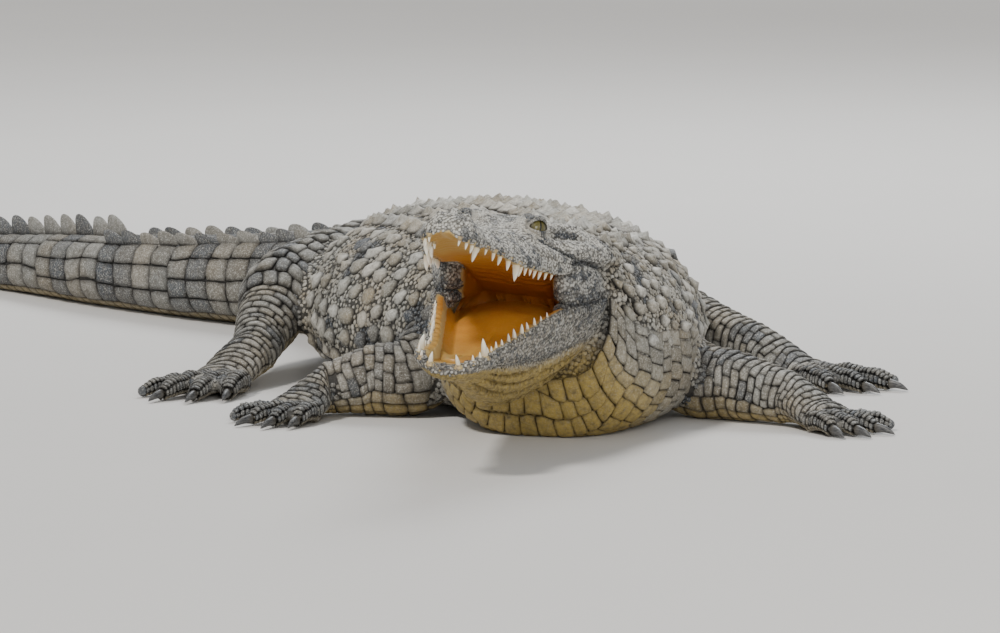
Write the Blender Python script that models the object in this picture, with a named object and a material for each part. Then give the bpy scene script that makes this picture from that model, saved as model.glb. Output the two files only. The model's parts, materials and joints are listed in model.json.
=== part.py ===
"""A Nile crocodile basking with its jaws open, as a life-size still model, in metres.

The animal lies on its belly on z = 0. Its head looks along -Y and a little to its right, and its
tail swings round to its right. The body, the limbs, the skull and the lower jaw are lofts whose
sections come from short tables of sizes; each loft is parted into named pieces that stand
PART_GAP apart. One origin, under the middle of the animal's box, is set at the end.
"""

import bpy
import bmesh
from math import cos, exp, pi, radians, sin
from mathutils import Euler, Matrix, Vector

# Driving dimensions
PART_GAP = 0.0003            # clearance between two pieces that meet
HEAD_LENGTH = 0.443          # jaw joint to the tip of the snout
BODY_LENGTH = 2.85           # back of the head to the tip of the tail
JAW_JOINT = Vector((0.036, -0.100, 0.221))
HEAD_YAW = radians(15.2)     # the head turns to the animal's right
HEAD_ROLL = radians(-4.5)
SKULL_PITCH = radians(14.9)
JAW_PITCH = radians(-8.0)
EYE_RADIUS = 0.0162
EYE_PLACE = Vector((0.166, 0.047, 0.0615))   # left eye, in the skull's frame

# The line of the backbone over the ground, from the back of the head to the tip of the tail
SPINE = (
    (0.036, -0.100), (0.077, 0.030), (0.096, 0.160), (0.050, 0.400), (-0.022, 0.640),
    (-0.082, 0.850), (-0.125, 1.000), (-0.200, 1.130), (-0.325, 1.245), (-0.480, 1.370),
    (-0.650, 1.540), (-0.820, 1.740), (-1.010, 1.910), (-1.230, 2.010), (-1.420, 2.030),
)

# Sections of the body: distance from the head, half width, height of the widest level,
# top, bottom, and how square the upper and the lower half are
BODY_SECTIONS = (
    (0.000, 0.130, 0.192, 0.308, 0.086, 2.1, 2.2),
    (0.032, 0.142, 0.165, 0.306, 0.030, 2.1, 2.3),
    (0.065, 0.152, 0.140, 0.303, -0.003, 2.1, 2.5),
    (0.108, 0.165, 0.120, 0.298, -0.006, 2.1, 2.8),
    (0.194, 0.182, 0.105, 0.290, -0.006, 2.0, 3.0),
    (0.290, 0.200, 0.100, 0.283, -0.006, 2.0, 3.0),
    (0.452, 0.250, 0.100, 0.278, -0.006, 2.0, 3.0),
    (0.645, 0.288, 0.100, 0.273, -0.006, 2.0, 3.0),
    (0.818, 0.272, 0.100, 0.262, -0.006, 2.1, 3.0),
    (0.968, 0.212, 0.098, 0.244, -0.006, 2.2, 3.0),
    (1.076, 0.166, 0.095, 0.222, -0.005, 2.3, 2.8),
    (1.205, 0.138, 0.090, 0.194, -0.004, 2.4, 2.6),
    (1.399, 0.113, 0.080, 0.163, -0.003, 2.6, 2.5),
    (1.614, 0.093, 0.070, 0.139, -0.003, 2.6, 2.4),
    (1.829, 0.077, 0.062, 0.122, -0.002, 2.6, 2.3),
    (2.044, 0.062, 0.054, 0.107, -0.002, 2.5, 2.2),
    (2.259, 0.048, 0.045, 0.090, -0.001, 2.4, 2.2),
    (2.474, 0.034, 0.036, 0.070, -0.001, 2.3, 2.2),
    (2.690, 0.021, 0.025, 0.047, -0.001, 2.2, 2.2),
    (2.850, 0.007, 0.010, 0.020, 0.000, 2.0, 2.0),
)
# Where the body is parted, and how many sections each piece has
SINGLE_CREST_FROM = 1.85
BODY_PIECES = (
    ("neck", 0.00, 0.16, 6), ("chest", 0.16, 0.45, 5), ("belly", 0.45, 0.82, 6), ("hips", 0.82, 1.14, 6),
)
TAIL_PARTS = (1.14, 1.485, SINGLE_CREST_FROM, 2.17, 2.50, BODY_LENGTH)
BODY_SIDES = 20

# The crest of the tail: two rows that run together into one
WHORL_LENGTH = 0.0445
DOUBLE_CREST_HEIGHT = 0.018
SINGLE_CREST_HEIGHT = 0.034
CREST_ANGLE = radians(34)

# Sections of the skull, in a frame whose origin is the jaw joint and whose X runs to the snout:
# distance, half width, height of the lip, height of the palate, top, squareness
SKULL_SECTIONS = (
    (-0.040, 0.121, 0.050, -0.020, 0.088, 2.6),
    (0.000, 0.121, 0.048, -0.018, 0.090, 2.7),
    (0.050, 0.114, 0.040, -0.012, 0.090, 2.8),
    (0.100, 0.104, 0.022, 0.000, 0.086, 2.6),
    (0.150, 0.093, 0.003, 0.009, 0.070, 2.3),
    (0.200, 0.080, -0.001, 0.010, 0.054, 2.2),
    (0.250, 0.072, -0.004, 0.007, 0.045, 2.1),
    (0.290, 0.069, -0.006, 0.005, 0.039, 2.1),
    (0.330, 0.054, -0.001, 0.008, 0.034, 2.2),
    (0.368, 0.040, 0.003, 0.010, 0.031, 2.3),
    (0.400, 0.041, -0.002, 0.006, 0.034, 2.4),
    (0.425, 0.036, -0.001, 0.006, 0.032, 2.4),
    (0.438, 0.024, 0.001, 0.006, 0.025, 2.2),
    (0.443, 0.009, 0.006, 0.008, 0.016, 2.0),
)
# Sections of the lower jaw, in a frame of the same kind: distance, half width, height of the lip,
# lowest height of the throat skin, squareness
JAW_SECTIONS = (
    (-0.040, 0.119, 0.004, -0.118, 1.9),
    (0.000, 0.121, 0.008, -0.128, 1.9),
    (0.050, 0.117, 0.013, -0.136, 1.8),
    (0.100, 0.107, 0.016, -0.136, 1.75),
    (0.150, 0.095, 0.015, -0.130, 1.7),
    (0.200, 0.083, 0.012, -0.117, 1.7),
    (0.250, 0.071, 0.008, -0.094, 1.7),
    (0.300, 0.059, 0.004, -0.068, 1.8),
    (0.350, 0.050, 0.004, -0.045, 2.0),
    (0.388, 0.051, 0.008, -0.030, 2.2),
    (0.414, 0.041, 0.006, -0.025, 2.2),
    (0.426, 0.024, 0.002, -0.019, 2.0),
    (0.431, 0.008, -0.004, -0.012, 2.0),
)
# Where the sections of the skull and of the lower jaw stand
SKULL_PLACES = (-0.04, 0.0, 0.04, 0.08, 0.112, 0.132, 0.15, 0.166, 0.182, 0.2, 0.225, 0.255, 0.29,
                0.32, 0.345, 0.368, 0.388, 0.408, 0.425, 0.438, HEAD_LENGTH)
JAW_PLACES = (-0.04, 0.0, 0.05, 0.075, 0.1, 0.125, 0.15, 0.2, 0.25, 0.3, 0.35, 0.388, 0.414, 0.426, 0.431)
# Teeth along each half of a jaw: place along the jaw and length
UPPER_TEETH = (
    (0.436, 0.008), (0.428, 0.010), (0.414, 0.012), (0.399, 0.020), (0.384, 0.011),
    (0.356, 0.008), (0.341, 0.011), (0.326, 0.014), (0.310, 0.016), (0.290, 0.024),
    (0.270, 0.014), (0.252, 0.011), (0.235, 0.010), (0.218, 0.011), (0.201, 0.012),
    (0.185, 0.010), (0.170, 0.008),
)
LOWER_TEETH = (
    (0.425, 0.015), (0.413, 0.009), (0.400, 0.010), (0.386, 0.023), (0.368, 0.008),
    (0.350, 0.007), (0.332, 0.008), (0.314, 0.009), (0.296, 0.011), (0.278, 0.014),
    (0.260, 0.014), (0.242, 0.011), (0.224, 0.010), (0.206, 0.008), (0.188, 0.007),
)
TOOTH_SLIMNESS = 0.27        # radius at the gum over length

# Limbs: joints, then half width and half height at each
LIMBS = {
    "arm_left": (((0.205, 0.275, 0.125), 0.060, 0.062), ((0.268, 0.170, 0.062), 0.052, 0.056),
                 ((0.345, 0.122, 0.050), 0.046, 0.049), ((0.415, 0.075, 0.040), 0.037, 0.038)),
    "arm_right": (((-0.060, 0.290, 0.125), 0.060, 0.062), ((-0.118, 0.182, 0.062), 0.052, 0.056),
                  ((-0.186, 0.178, 0.052), 0.047, 0.050), ((-0.248, 0.178, 0.040), 0.038, 0.038)),
    "leg_left": (((-0.015, 0.900, 0.125), 0.080, 0.074), ((0.205, 0.752, 0.096), 0.062, 0.060),
                 ((0.300, 0.655, 0.072), 0.048, 0.048), ((0.388, 0.565, 0.050), 0.036, 0.037)),
    "leg_right": (((-0.165, 0.870, 0.140), 0.086, 0.080), ((-0.322, 0.690, 0.122), 0.062, 0.066),
                  ((-0.352, 0.600, 0.086), 0.047, 0.050), ((-0.372, 0.520, 0.048), 0.036, 0.037)),
}
# Feet: heading over the ground, palm length, and each toe as (turn from the heading in degrees,
# length past the palm, radius); the first toe is the inner one and only the first three have claws
FEET = {
    "hand_left": ("arm_left", -43, 0.088, 0.046, 1,
                  ((-19, 0.050, 0.0125), (-9, 0.072, 0.0125), (7, 0.074, 0.0120), (27, 0.072, 0.0100),
                   (48, 0.052, 0.0090))),
    "hand_right": ("arm_right", -131, 0.088, 0.046, -1,
                   ((-19, 0.050, 0.0125), (-9, 0.072, 0.0125), (7, 0.074, 0.0120), (27, 0.072, 0.0100),
                    (48, 0.052, 0.0090))),
    "foot_left": ("leg_left", -38, 0.125, 0.048, 1,
                  ((-17, 0.065, 0.0145), (-6, 0.098, 0.0145), (6, 0.110, 0.0140), (19, 0.092, 0.0110))),
    "foot_right": ("leg_right", -118, 0.125, 0.048, -1,
                   ((-17, 0.065, 0.0145), (-6, 0.098, 0.0145), (6, 0.110, 0.0140), (19, 0.092, 0.0110))),
}
CLAWED_TOES = 3
CLAW_LENGTH = 0.026
CLAW_RADIUS = 0.0068
LIMB_SIDES = 11
TOE_SIDES = 7
CLAW_SIDES = 6

HIDE_COLOUR = (0.30, 0.29, 0.23)
MOUTH_COLOUR = (0.70, 0.36, 0.07)
EYE_COLOUR = (0.38, 0.34, 0.10)
CLAW_COLOUR = (0.07, 0.07, 0.08)


def clear_scene():
    for obj in list(bpy.data.objects):
        bpy.data.objects.remove(obj)


def make_material(name, colour, roughness):
    material = bpy.data.materials.new(name)
    material.use_nodes = True
    surface = material.node_tree.nodes["Principled BSDF"]
    surface.inputs["Base Color"].default_value = (*colour, 1)
    surface.inputs["Roughness"].default_value = roughness
    surface.inputs["Metallic"].default_value = 0
    return material


def slope_at(table, row, column):
    """Slope of a column at a row, level where the column turns, so that nothing overshoots."""
    if row in (0, len(table) - 1):
        return 0.0
    before = (table[row][column] - table[row - 1][column]) / (table[row][0] - table[row - 1][0])
    after = (table[row + 1][column] - table[row][column]) / (table[row + 1][0] - table[row][0])
    if before * after <= 0:
        return 0.0
    return 2 * before * after / (before + after)


def sizes_at(table, place):
    """The sizes of a table at a place between its rows, on smooth curves."""
    place = min(max(place, table[0][0]), table[-1][0])
    row = 0
    while row < len(table) - 2 and place > table[row + 1][0]:
        row += 1
    step = table[row + 1][0] - table[row][0]
    t = (place - table[row][0]) / step
    sizes = []
    for column in range(1, len(table[0])):
        low, high = table[row][column], table[row + 1][column]
        low_slope = slope_at(table, row, column) * step
        high_slope = slope_at(table, row + 1, column) * step
        sizes.append(
            low * (1 + 2 * t) * (1 - t) ** 2 + low_slope * t * (1 - t) ** 2
            + high * t * t * (3 - 2 * t) - high_slope * t * t * (1 - t)
        )
    return sizes


def curve_points(knots, steps=24):
    """Points of a smooth curve through the knots."""
    ends = [2 * knots[0] - knots[1], *knots, 2 * knots[-1] - knots[-2]]
    points = []
    for a, b, c, d in zip(ends, ends[1:], ends[2:], ends[3:]):
        for i in range(steps):
            t = i / steps
            points.append(
                0.5 * (2 * b + (c - a) * t + (2 * a - 5 * b + 4 * c - d) * t * t
                       + (3 * b - a - 3 * c + d) * t ** 3)
            )
    return points + [knots[-1].copy()]


class Line:
    """A smooth curve that gives its point and its direction at a distance along it."""

    def __init__(self, knots, length=None):
        self.points = curve_points([Vector(k).to_3d() for k in knots])
        self.reach = [0.0]
        for a, b in zip(self.points, self.points[1:]):
            self.reach.append(self.reach[-1] + (b - a).length)
        self.scale = self.reach[-1] / length if length else 1.0
        self.length = self.reach[-1] / self.scale

    def point(self, distance):
        target = min(max(distance * self.scale, 0.0), self.reach[-1])
        i = 0
        while i < len(self.points) - 2 and self.reach[i + 1] < target:
            i += 1
        t = (target - self.reach[i]) / (self.reach[i + 1] - self.reach[i])
        return self.points[i].lerp(self.points[i + 1], t)

    def heading(self, distance, reach=0.02):
        ahead = self.point(min(distance + reach, self.length))
        return (ahead - self.point(max(distance - reach, 0))).normalized()


def power(value, exponent):
    return abs(value) ** exponent * (1 if value >= 0 else -1)


def body_ring(spine, s, angles, crest=0.0, heading=None):
    """A section of the body on a vertical plane across the spine, flat where it meets the floor."""
    width, widest, top, bottom, square_top, square_bottom = sizes_at(BODY_SECTIONS, s)
    centre, heading = spine.point(s), heading or spine.heading(s)
    left = Vector((heading.y, -heading.x, 0))
    ring = []
    for angle in angles:
        square = square_top if sin(angle) >= 0 else square_bottom
        height = top - widest if sin(angle) >= 0 else widest - bottom
        across = width * power(cos(angle), 2 / square)
        up = widest + height * power(sin(angle), 2 / square)
        if crest and s < SINGLE_CREST_FROM and abs(abs(angle - pi / 2) - CREST_ANGLE) < 0.01:
            up += crest
        if crest and s > SINGLE_CREST_FROM and abs(angle - pi / 2) < 0.01:
            up += crest
        point = centre + left * across
        ring.append(Vector((point.x, point.y, max(up, 0.0))))
    return ring


def build_loft(name, rings, material, collection):
    """A closed solid through the rings, which run one way round and all have as many points."""
    mesh = bmesh.new()
    rows = [[mesh.verts.new(point) for point in ring] for ring in rings]
    count = len(rings[0])
    for row, following in zip(rows, rows[1:]):
        for i in range(count):
            mesh.faces.new((row[i], row[(i + 1) % count], following[(i + 1) % count], following[i]))
    mesh.faces.new(list(reversed(rows[0])))
    mesh.faces.new(rows[-1])
    bmesh.ops.remove_doubles(mesh, verts=mesh.verts, dist=1e-6)
    bmesh.ops.recalc_face_normals(mesh, faces=mesh.faces)
    return finish_mesh(name, mesh, material, collection)


def finish_mesh(name, mesh, material, collection):
    """An object of its own, in triangles, so that every cut and every neighbour sees the same faces."""
    bmesh.ops.triangulate(mesh, faces=mesh.faces)
    data = bpy.data.meshes.new(name)
    mesh.to_mesh(data)
    mesh.free()
    obj = bpy.data.objects.new(name, data)
    obj.data.materials.append(material)
    collection.objects.link(obj)
    return obj


def keep_result(obj):
    """Replaces an object's mesh with what its modifiers make of it."""
    graph = bpy.context.evaluated_depsgraph_get()
    result = bpy.data.meshes.new_from_object(obj.evaluated_get(graph))
    obj.modifiers.clear()
    obj.data = result
    mesh = bmesh.new()
    mesh.from_mesh(result)
    bmesh.ops.triangulate(mesh, faces=mesh.faces)
    mesh.to_mesh(result)
    mesh.free()


def combine(obj, others, operation):
    """Cuts the others from the object or joins them to it, and removes them if they are joined."""
    for other in others:
        modifier = obj.modifiers.new(operation.lower(), "BOOLEAN")
        modifier.object = other
        modifier.operation = operation
        modifier.solver = "EXACT"
    bpy.context.view_layer.update()
    keep_result(obj)
    if operation == "UNION":
        for other in others:
            bpy.data.objects.remove(other)


def swollen_copy(obj, collection):
    """A cutter that stands PART_GAP proud of an object all over."""
    copy = bpy.data.objects.new(obj.name + "_cutter", obj.data.copy())
    collection.objects.link(copy)
    swell = copy.modifiers.new("swell", "DISPLACE")
    swell.strength = PART_GAP * 1.5
    swell.mid_level = 0
    bpy.context.view_layer.update()
    keep_result(copy)
    copy.hide_render = True
    copy.display_type = "WIRE"
    return copy


def even_angles(count):
    return [2 * pi * i / count for i in range(count)]


def build_trunk(spine, hide, collection):
    pieces = []
    for name, start, end, sections in BODY_PIECES:
        first, last = start + PART_GAP / 2, end - PART_GAP / 2
        places = [first + (last - first) * i / (sections - 1) for i in range(sections)]
        rings = [body_ring(spine, s, even_angles(BODY_SIDES)) for s in places]
        if start == 0:
            back = Vector((sin(HEAD_YAW), cos(HEAD_YAW), 0))
            rings[0] = body_ring(spine, first, even_angles(BODY_SIDES), heading=back)
        pieces.append(build_loft(name, rings, hide, collection))
    return pieces


def tail_angles(single_crest):
    """Angles round the tail, with one at each place where a crest can stand."""
    beside = radians(13)
    if single_crest:
        right = [0.0, radians(40), pi / 2 - beside, pi / 2]
    else:
        right = [0.0, *(pi / 2 - CREST_ANGLE + turn for turn in (-beside, 0, beside)), pi / 2]
    left = [pi - angle for angle in reversed(right[:-1])]
    lower = [pi + pi * i / 5 for i in range(1, 5)]
    return right + left + lower


def crest_height(s):
    """Height of the crest on the whorl at s, lower towards both ends of the tail."""
    if s < SINGLE_CREST_FROM:
        return DOUBLE_CREST_HEIGHT * min(1.0, 0.45 + (s - TAIL_PARTS[0]) / 0.65)
    fade = (BODY_LENGTH - s) / (BODY_LENGTH - SINGLE_CREST_FROM)
    return SINGLE_CREST_HEIGHT * min(1.0, 0.15 + 1.6 * fade) * (0.25 + 0.75 * fade ** 0.5)


def build_tail(spine, hide, collection):
    """The tail in lengths of whole whorls, each whorl rising to its crest and dropping behind it."""
    for number, (start, end) in enumerate(zip(TAIL_PARTS, TAIL_PARTS[1:]), start=1):
        whorls = round((end - start) / WHORL_LENGTH)
        pitch = (end - start) / whorls
        angles = tail_angles(start >= SINGLE_CREST_FROM)
        rings = [body_ring(spine, start + PART_GAP / 2, angles)]
        for i in range(whorls):
            foot = start + i * pitch
            peak = foot + 0.72 * pitch
            if i:
                rings.append(body_ring(spine, foot, angles))
            rings.append(body_ring(spine, peak, angles, crest_height(peak)))
        rings.append(body_ring(spine, end - PART_GAP / 2, angles))
        build_loft(f"tail_{number}", rings, hide, collection)


def head_frame(pitch):
    """Axes of the skull or the lower jaw: X along the snout, Y to the animal's left, Z up."""
    forward = Vector((-sin(HEAD_YAW), -cos(HEAD_YAW), 0))
    left = Vector((cos(HEAD_YAW), -sin(HEAD_YAW), 0))
    snout = forward * cos(pitch) + Vector((0, 0, sin(pitch)))
    crown = Vector((0, 0, cos(pitch))) - forward * sin(pitch)
    side = left * cos(HEAD_ROLL) + crown * sin(HEAD_ROLL)
    crown = crown * cos(HEAD_ROLL) - left * sin(HEAD_ROLL)
    axes = Matrix((snout, side, crown)).transposed().to_4x4()
    return Matrix.Translation(JAW_JOINT) @ axes


def bump(x, y, at_x, at_y, reach_x, reach_y):
    return exp(-((x - at_x) / reach_x) ** 2 - ((abs(y) - at_y) / reach_y) ** 2)


def skull_ring(x, frame):
    """A section of the upper jaw and brain case, with the palate as its underside."""
    width, lip, palate, top, square = sizes_at(SKULL_SECTIONS, x)
    ring = []
    for i in range(13):
        angle = pi * i / 12
        y = width * power(cos(angle), 2 / square)
        z = lip + (top - lip) * sin(angle) ** (2 / square)
        brow = 0.020 * bump(x, y, EYE_PLACE.x - 0.006, EYE_PLACE.y - 0.013, 0.026, 0.017)
        nostrils = 0.014 * bump(x, y, 0.408, 0.0, 0.020, 0.022)
        ring.append(Vector((x, y, z + brow + nostrils)))
    inner = max(width - 0.011, width * 0.5)
    for y, z in ((-inner, lip + 0.001), (-0.6 * inner, palate), (0.0, palate + 0.001),
                 (0.6 * inner, palate), (inner, lip + 0.001)):
        ring.append(Vector((x, y, z)))
    return [frame @ point for point in ring]


def jaw_floor(x):
    """Half width and height of the floor of the mouth between the sides of the lower jaw."""
    width, lip, bottom, square = sizes_at(JAW_SECTIONS, x)
    return max(width - 0.015, width * 0.45), lip - min(0.022, 0.4 * (lip - bottom))


def jaw_ring(x, frame):
    """A section of the lower jaw: a trough between two lips, with the throat skin below."""
    width, lip, bottom, square = sizes_at(JAW_SECTIONS, x)
    ring = []
    for i in range(11):
        angle = pi + pi * i / 10
        y = width * power(cos(angle), 2 / square)
        ring.append(Vector((x, y, lip + (lip - bottom) * power(sin(angle), 2 / square))))
    inner, floor = jaw_floor(x)
    for y, z in ((inner, lip - 0.001), (0.86 * inner, floor), (0.0, floor - 0.002),
                 (-0.86 * inner, floor), (-inner, lip - 0.001)):
        ring.append(Vector((x, y, z)))
    return [frame @ point for point in ring]


def build_teeth(sections, teeth, frame, down, hide, collection):
    """Cones along both sides of a jaw, sunk in the lip. down is -1 for the upper jaw and 1 for the lower."""
    cones = []
    for x, length in teeth:
        width, lip = sizes_at(sections, x)[:2]
        radius = length * TOOTH_SLIMNESS
        for side in (1, -1):
            root = Vector((x, side * (width - 0.35 * radius - 0.0045), lip - down * 0.006))
            lean = Euler((-side * down * 0.14, 0, 0)).to_matrix() @ Vector((0, 0, down))
            mesh = bmesh.new()
            bmesh.ops.create_cone(
                mesh, cap_ends=True, segments=5, radius1=radius, radius2=0.0006,
                depth=length + 0.006, matrix=Matrix.Translation((0, 0, (length + 0.006) / 2)),
            )
            turn = Vector((0, 0, 1)).rotation_difference(lean).to_matrix().to_4x4()
            mesh.transform(frame @ Matrix.Translation(root) @ turn)
            cones.append(finish_mesh("tooth", mesh, hide, collection))
    return cones


def back_of_head_cutter(hide, collection):
    """A block behind the plane where the head meets the neck."""
    mesh = bmesh.new()
    bmesh.ops.create_cube(mesh, size=0.6)
    behind = Matrix.Translation(JAW_JOINT) @ Matrix.Rotation(-HEAD_YAW, 4, "Z")
    mesh.transform(behind @ Matrix.Translation((0, 0.3 - PART_GAP / 2, 0)))
    cutter = finish_mesh("behind_head", mesh, hide, collection)
    cutter.hide_render = True
    return cutter


def ball(name, centre, radius, segments, material, collection):
    mesh = bmesh.new()
    bmesh.ops.create_uvsphere(mesh, u_segments=segments, v_segments=segments // 2, radius=radius)
    mesh.transform(Matrix.Translation(centre))
    return finish_mesh(name, mesh, material, collection)


def build_eyes(skull, frame, eye_material, collection, cutters):
    for side, label in ((1, "left"), (-1, "right")):
        place = frame @ Vector((EYE_PLACE.x, side * EYE_PLACE.y, EYE_PLACE.z))
        socket = ball("socket_" + label, place, EYE_RADIUS + 2 * PART_GAP, 12, eye_material, cutters)
        socket.hide_render = True
        combine(skull, [socket], "DIFFERENCE")
        ball("eye_" + label, place, EYE_RADIUS, 12, eye_material, collection)


def build_tongue(frame, tongue_cutters, material, collection):
    """A broad flat tongue on the floor of the mouth. Its root rises to the palate as the throat fold."""
    rings = []
    for x in [place for place in JAW_PLACES if 0.03 < place < 0.4]:
        inner, floor = jaw_floor(x)
        width = 0.84 * inner * (1 if x < 0.33 else 1 - ((x - 0.33) / 0.08) ** 2)
        rise = 0.010 + 0.026 * exp(-((x - 0.09) / 0.035) ** 2)
        base = floor + 2 * PART_GAP
        ring = []
        for i in range(9):
            angle = pi * i / 8
            ring.append(Vector((x, width * cos(angle), base + 0.004 + rise * abs(sin(angle)) ** 0.7)))
        ring += [Vector((x, -width, base)), Vector((x, 0, base)), Vector((x, width, base))]
        rings.append([frame @ point for point in ring])
    tongue = build_loft("tongue", rings, material, collection)
    combine(tongue, tongue_cutters, "DIFFERENCE")
    keep_largest_body(tongue)


def build_cheek(side, label, skull_cutter, jaw_cutter, behind, hide, collection):
    """The muscle and skin that join the jaws at the corner of the mouth."""
    frame = head_frame((SKULL_PITCH + JAW_PITCH) / 2)
    rings = []
    for x, outer, inner, reach in ((-0.03, 0.105, 0.050, 0.040), (0.03, 0.107, 0.058, 0.040),
                                   (0.075, 0.103, 0.066, 0.046), (0.105, 0.096, 0.072, 0.052),
                                   (0.122, 0.090, 0.078, 0.056)):
        ring = []
        for i in range(10):
            angle = 2 * pi * i / 10
            y = side * ((outer + inner) / 2 + (outer - inner) / 2 * power(cos(angle), 0.8))
            ring.append(frame @ Vector((x, y, 0.012 + reach * power(sin(angle), 0.8))))
        rings.append(ring)
    cheek = build_loft("cheek_" + label, rings, hide, collection)
    combine(cheek, [skull_cutter, jaw_cutter, behind], "DIFFERENCE")
    keep_largest_body(cheek)
    return cheek


def build_head(hide, mouth, eye_material, collection, cutters):
    skull_frame, jaw_frame = head_frame(SKULL_PITCH), head_frame(JAW_PITCH)
    skull = build_loft("skull", [skull_ring(x, skull_frame) for x in SKULL_PLACES], hide, collection)
    jaw = build_loft("lower_jaw", [jaw_ring(x, jaw_frame) for x in JAW_PLACES], hide, collection)
    behind = back_of_head_cutter(hide, cutters)
    combine(skull, [behind], "DIFFERENCE")
    combine(jaw, [behind], "DIFFERENCE")
    build_eyes(skull, skull_frame, eye_material, collection, cutters)
    skull_cutter, jaw_cutter = swollen_copy(skull, cutters), swollen_copy(jaw, cutters)
    combine(jaw, [skull_cutter], "DIFFERENCE")
    tongue_cutters = [skull_cutter]
    for side, label in ((1, "left"), (-1, "right")):
        cheek = build_cheek(side, label, skull_cutter, jaw_cutter, behind, hide, collection)
        tongue_cutters.append(swollen_copy(cheek, cutters))
    build_tongue(jaw_frame, tongue_cutters, mouth, collection)
    combine(skull, build_teeth(SKULL_SECTIONS, UPPER_TEETH, skull_frame, -1, hide, collection), "UNION")
    combine(jaw, build_teeth(JAW_SECTIONS, LOWER_TEETH, jaw_frame, 1, hide, collection), "UNION")


def limb_ring(centre, heading, half_width, half_height, sides):
    """An oval section across a limb, flat where it meets the floor."""
    across = heading.cross(Vector((0, 0, 1))).normalized()
    over = across.cross(heading)
    ring = []
    for i in range(sides):
        angle = 2 * pi * i / sides
        point = centre + across * half_width * cos(angle) + over * half_height * sin(angle)
        ring.append(Vector((point.x, point.y, max(point.z, 0.0))))
    return ring


def limb_line(stations):
    """The line through a limb's joints, with a table of its half width and half height."""
    line = Line([place for place, _, _ in stations])
    table = []
    for place, half_width, half_height in stations:
        nearest = min(range(241), key=lambda i: (line.point(line.length * i / 240) - Vector(place)).length)
        table.append((line.length * nearest / 240, half_width, half_height))
    return line, table


def build_limb(name, names, body_cutters, hide, collection):
    """Upper and lower part of a limb. The upper one is cut where it grows from the trunk."""
    line, table = limb_line(LIMBS[name])
    middle = table[1][0]
    spans = ((0.0, middle, 4), (middle, line.length, 4))
    for (start, end, sections), part_name in zip(spans, names):
        first, last = start + PART_GAP / 2, end - PART_GAP / 2
        rings = []
        for i in range(sections):
            s = first + (last - first) * i / (sections - 1)
            half_width, half_height = sizes_at(table, s)
            rings.append(limb_ring(line.point(s), line.heading(s), half_width, half_height, LIMB_SIDES))
        piece = build_loft(part_name, rings, hide, collection)
        combine(piece, body_cutters, "DIFFERENCE")
        keep_largest_body(piece)


def keep_largest_body(obj):
    """Drops what a cut left on the far side of the trunk."""
    mesh = bmesh.new()
    mesh.from_mesh(obj.data)
    unseen = set(mesh.verts)
    bodies = []
    while unseen:
        group, front = set(), [unseen.pop()]
        while front:
            vertex = front.pop()
            group.add(vertex)
            for edge in vertex.link_edges:
                other = edge.other_vert(vertex)
                if other in unseen:
                    unseen.discard(other)
                    front.append(other)
        bodies.append(group)
    bodies.sort(key=len)
    for group in bodies[:-1]:
        bmesh.ops.delete(mesh, geom=list(group), context="VERTS")
    mesh.to_mesh(obj.data)
    mesh.free()


def toe_rings(root, direction, length, radius):
    """A toe from inside the palm to its blunt end, lying on the floor."""
    rings = []
    for along, share in ((0.0, 1.25), (0.45, 1.12), (0.8, 0.98), (1.0, 0.74)):
        size = radius * share
        centre = root + direction * length * along
        centre.z = size * 0.92 + 0.006 * sin(pi * min(along, 1.0))
        rings.append(limb_ring(centre, direction, size, size, TOE_SIDES))
    return rings


def build_claw(name, base, direction, material, collection):
    """A claw that curves down from the end of a toe."""
    rings = []
    for along, share in ((0.0, 1.0), (0.5, 0.72), (1.0, 0.12)):
        centre = base + direction * CLAW_LENGTH * along
        centre.z = max(base.z * (1 - along ** 2 * 0.75), CLAW_RADIUS * share)
        rings.append(limb_ring(centre, direction, CLAW_RADIUS * share, CLAW_RADIUS * share, CLAW_SIDES))
    return build_loft(name, rings, material, collection)


def build_foot(name, hide, claw_material, collection):
    """A hand or a foot: the palm, its toes joined to it, and the claws as pieces of their own."""
    limb, degrees, palm_length, palm_width, side, toes = FEET[name]
    line, table = limb_line(LIMBS[limb])
    wrist, arrival = line.point(line.length), line.heading(line.length)
    heading = Vector((cos(radians(degrees)), sin(radians(degrees)), 0))
    start_width, start_height = table[-1][1], table[-1][2]
    rings = []
    for along, width_share, height in ((0.0, 0.0, start_height), (0.3, 0.35, 0.030), (0.6, 0.75, 0.024),
                                       (0.85, 1.0, 0.020), (1.0, 0.98, 0.015)):
        direction = arrival.lerp(heading, min(1.0, along * 1.8)).normalized()
        centre = wrist + heading * (PART_GAP + palm_length * along)
        centre.z = wrist.z + (height * 0.9 - wrist.z) * min(1.0, along * 1.5)
        width = start_width + (palm_width - start_width) * width_share
        rings.append(limb_ring(centre, direction, width, height, LIMB_SIDES))
    rings[0] = limb_ring(wrist + arrival * PART_GAP, arrival, start_width, start_height, LIMB_SIDES)
    foot = build_loft(name, rings, hide, collection)
    toe_pieces = []
    for number, (turn, length, radius) in enumerate(toes, start=1):
        angle = radians(degrees + side * turn)
        direction = Vector((cos(angle), sin(angle), 0))
        spread = palm_width * (2 * (number - 1) / (len(toes) - 1) - 1) * 0.74
        outward = Vector((-heading.y, heading.x, 0)) * side
        root = wrist + heading * palm_length * 0.80 + outward * spread
        reach = length + palm_length * 0.20
        rings = toe_rings(root, direction, reach, radius)
        toe_pieces.append(build_loft(f"{name}_toe_{number}", rings, hide, collection))
        if number <= CLAWED_TOES:
            end = sum(rings[-1], Vector()) / TOE_SIDES
            build_claw(f"{name}_claw_{number}", end + direction * PART_GAP * 2, direction, claw_material, collection)
    combine(foot, toe_pieces, "UNION")


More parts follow.
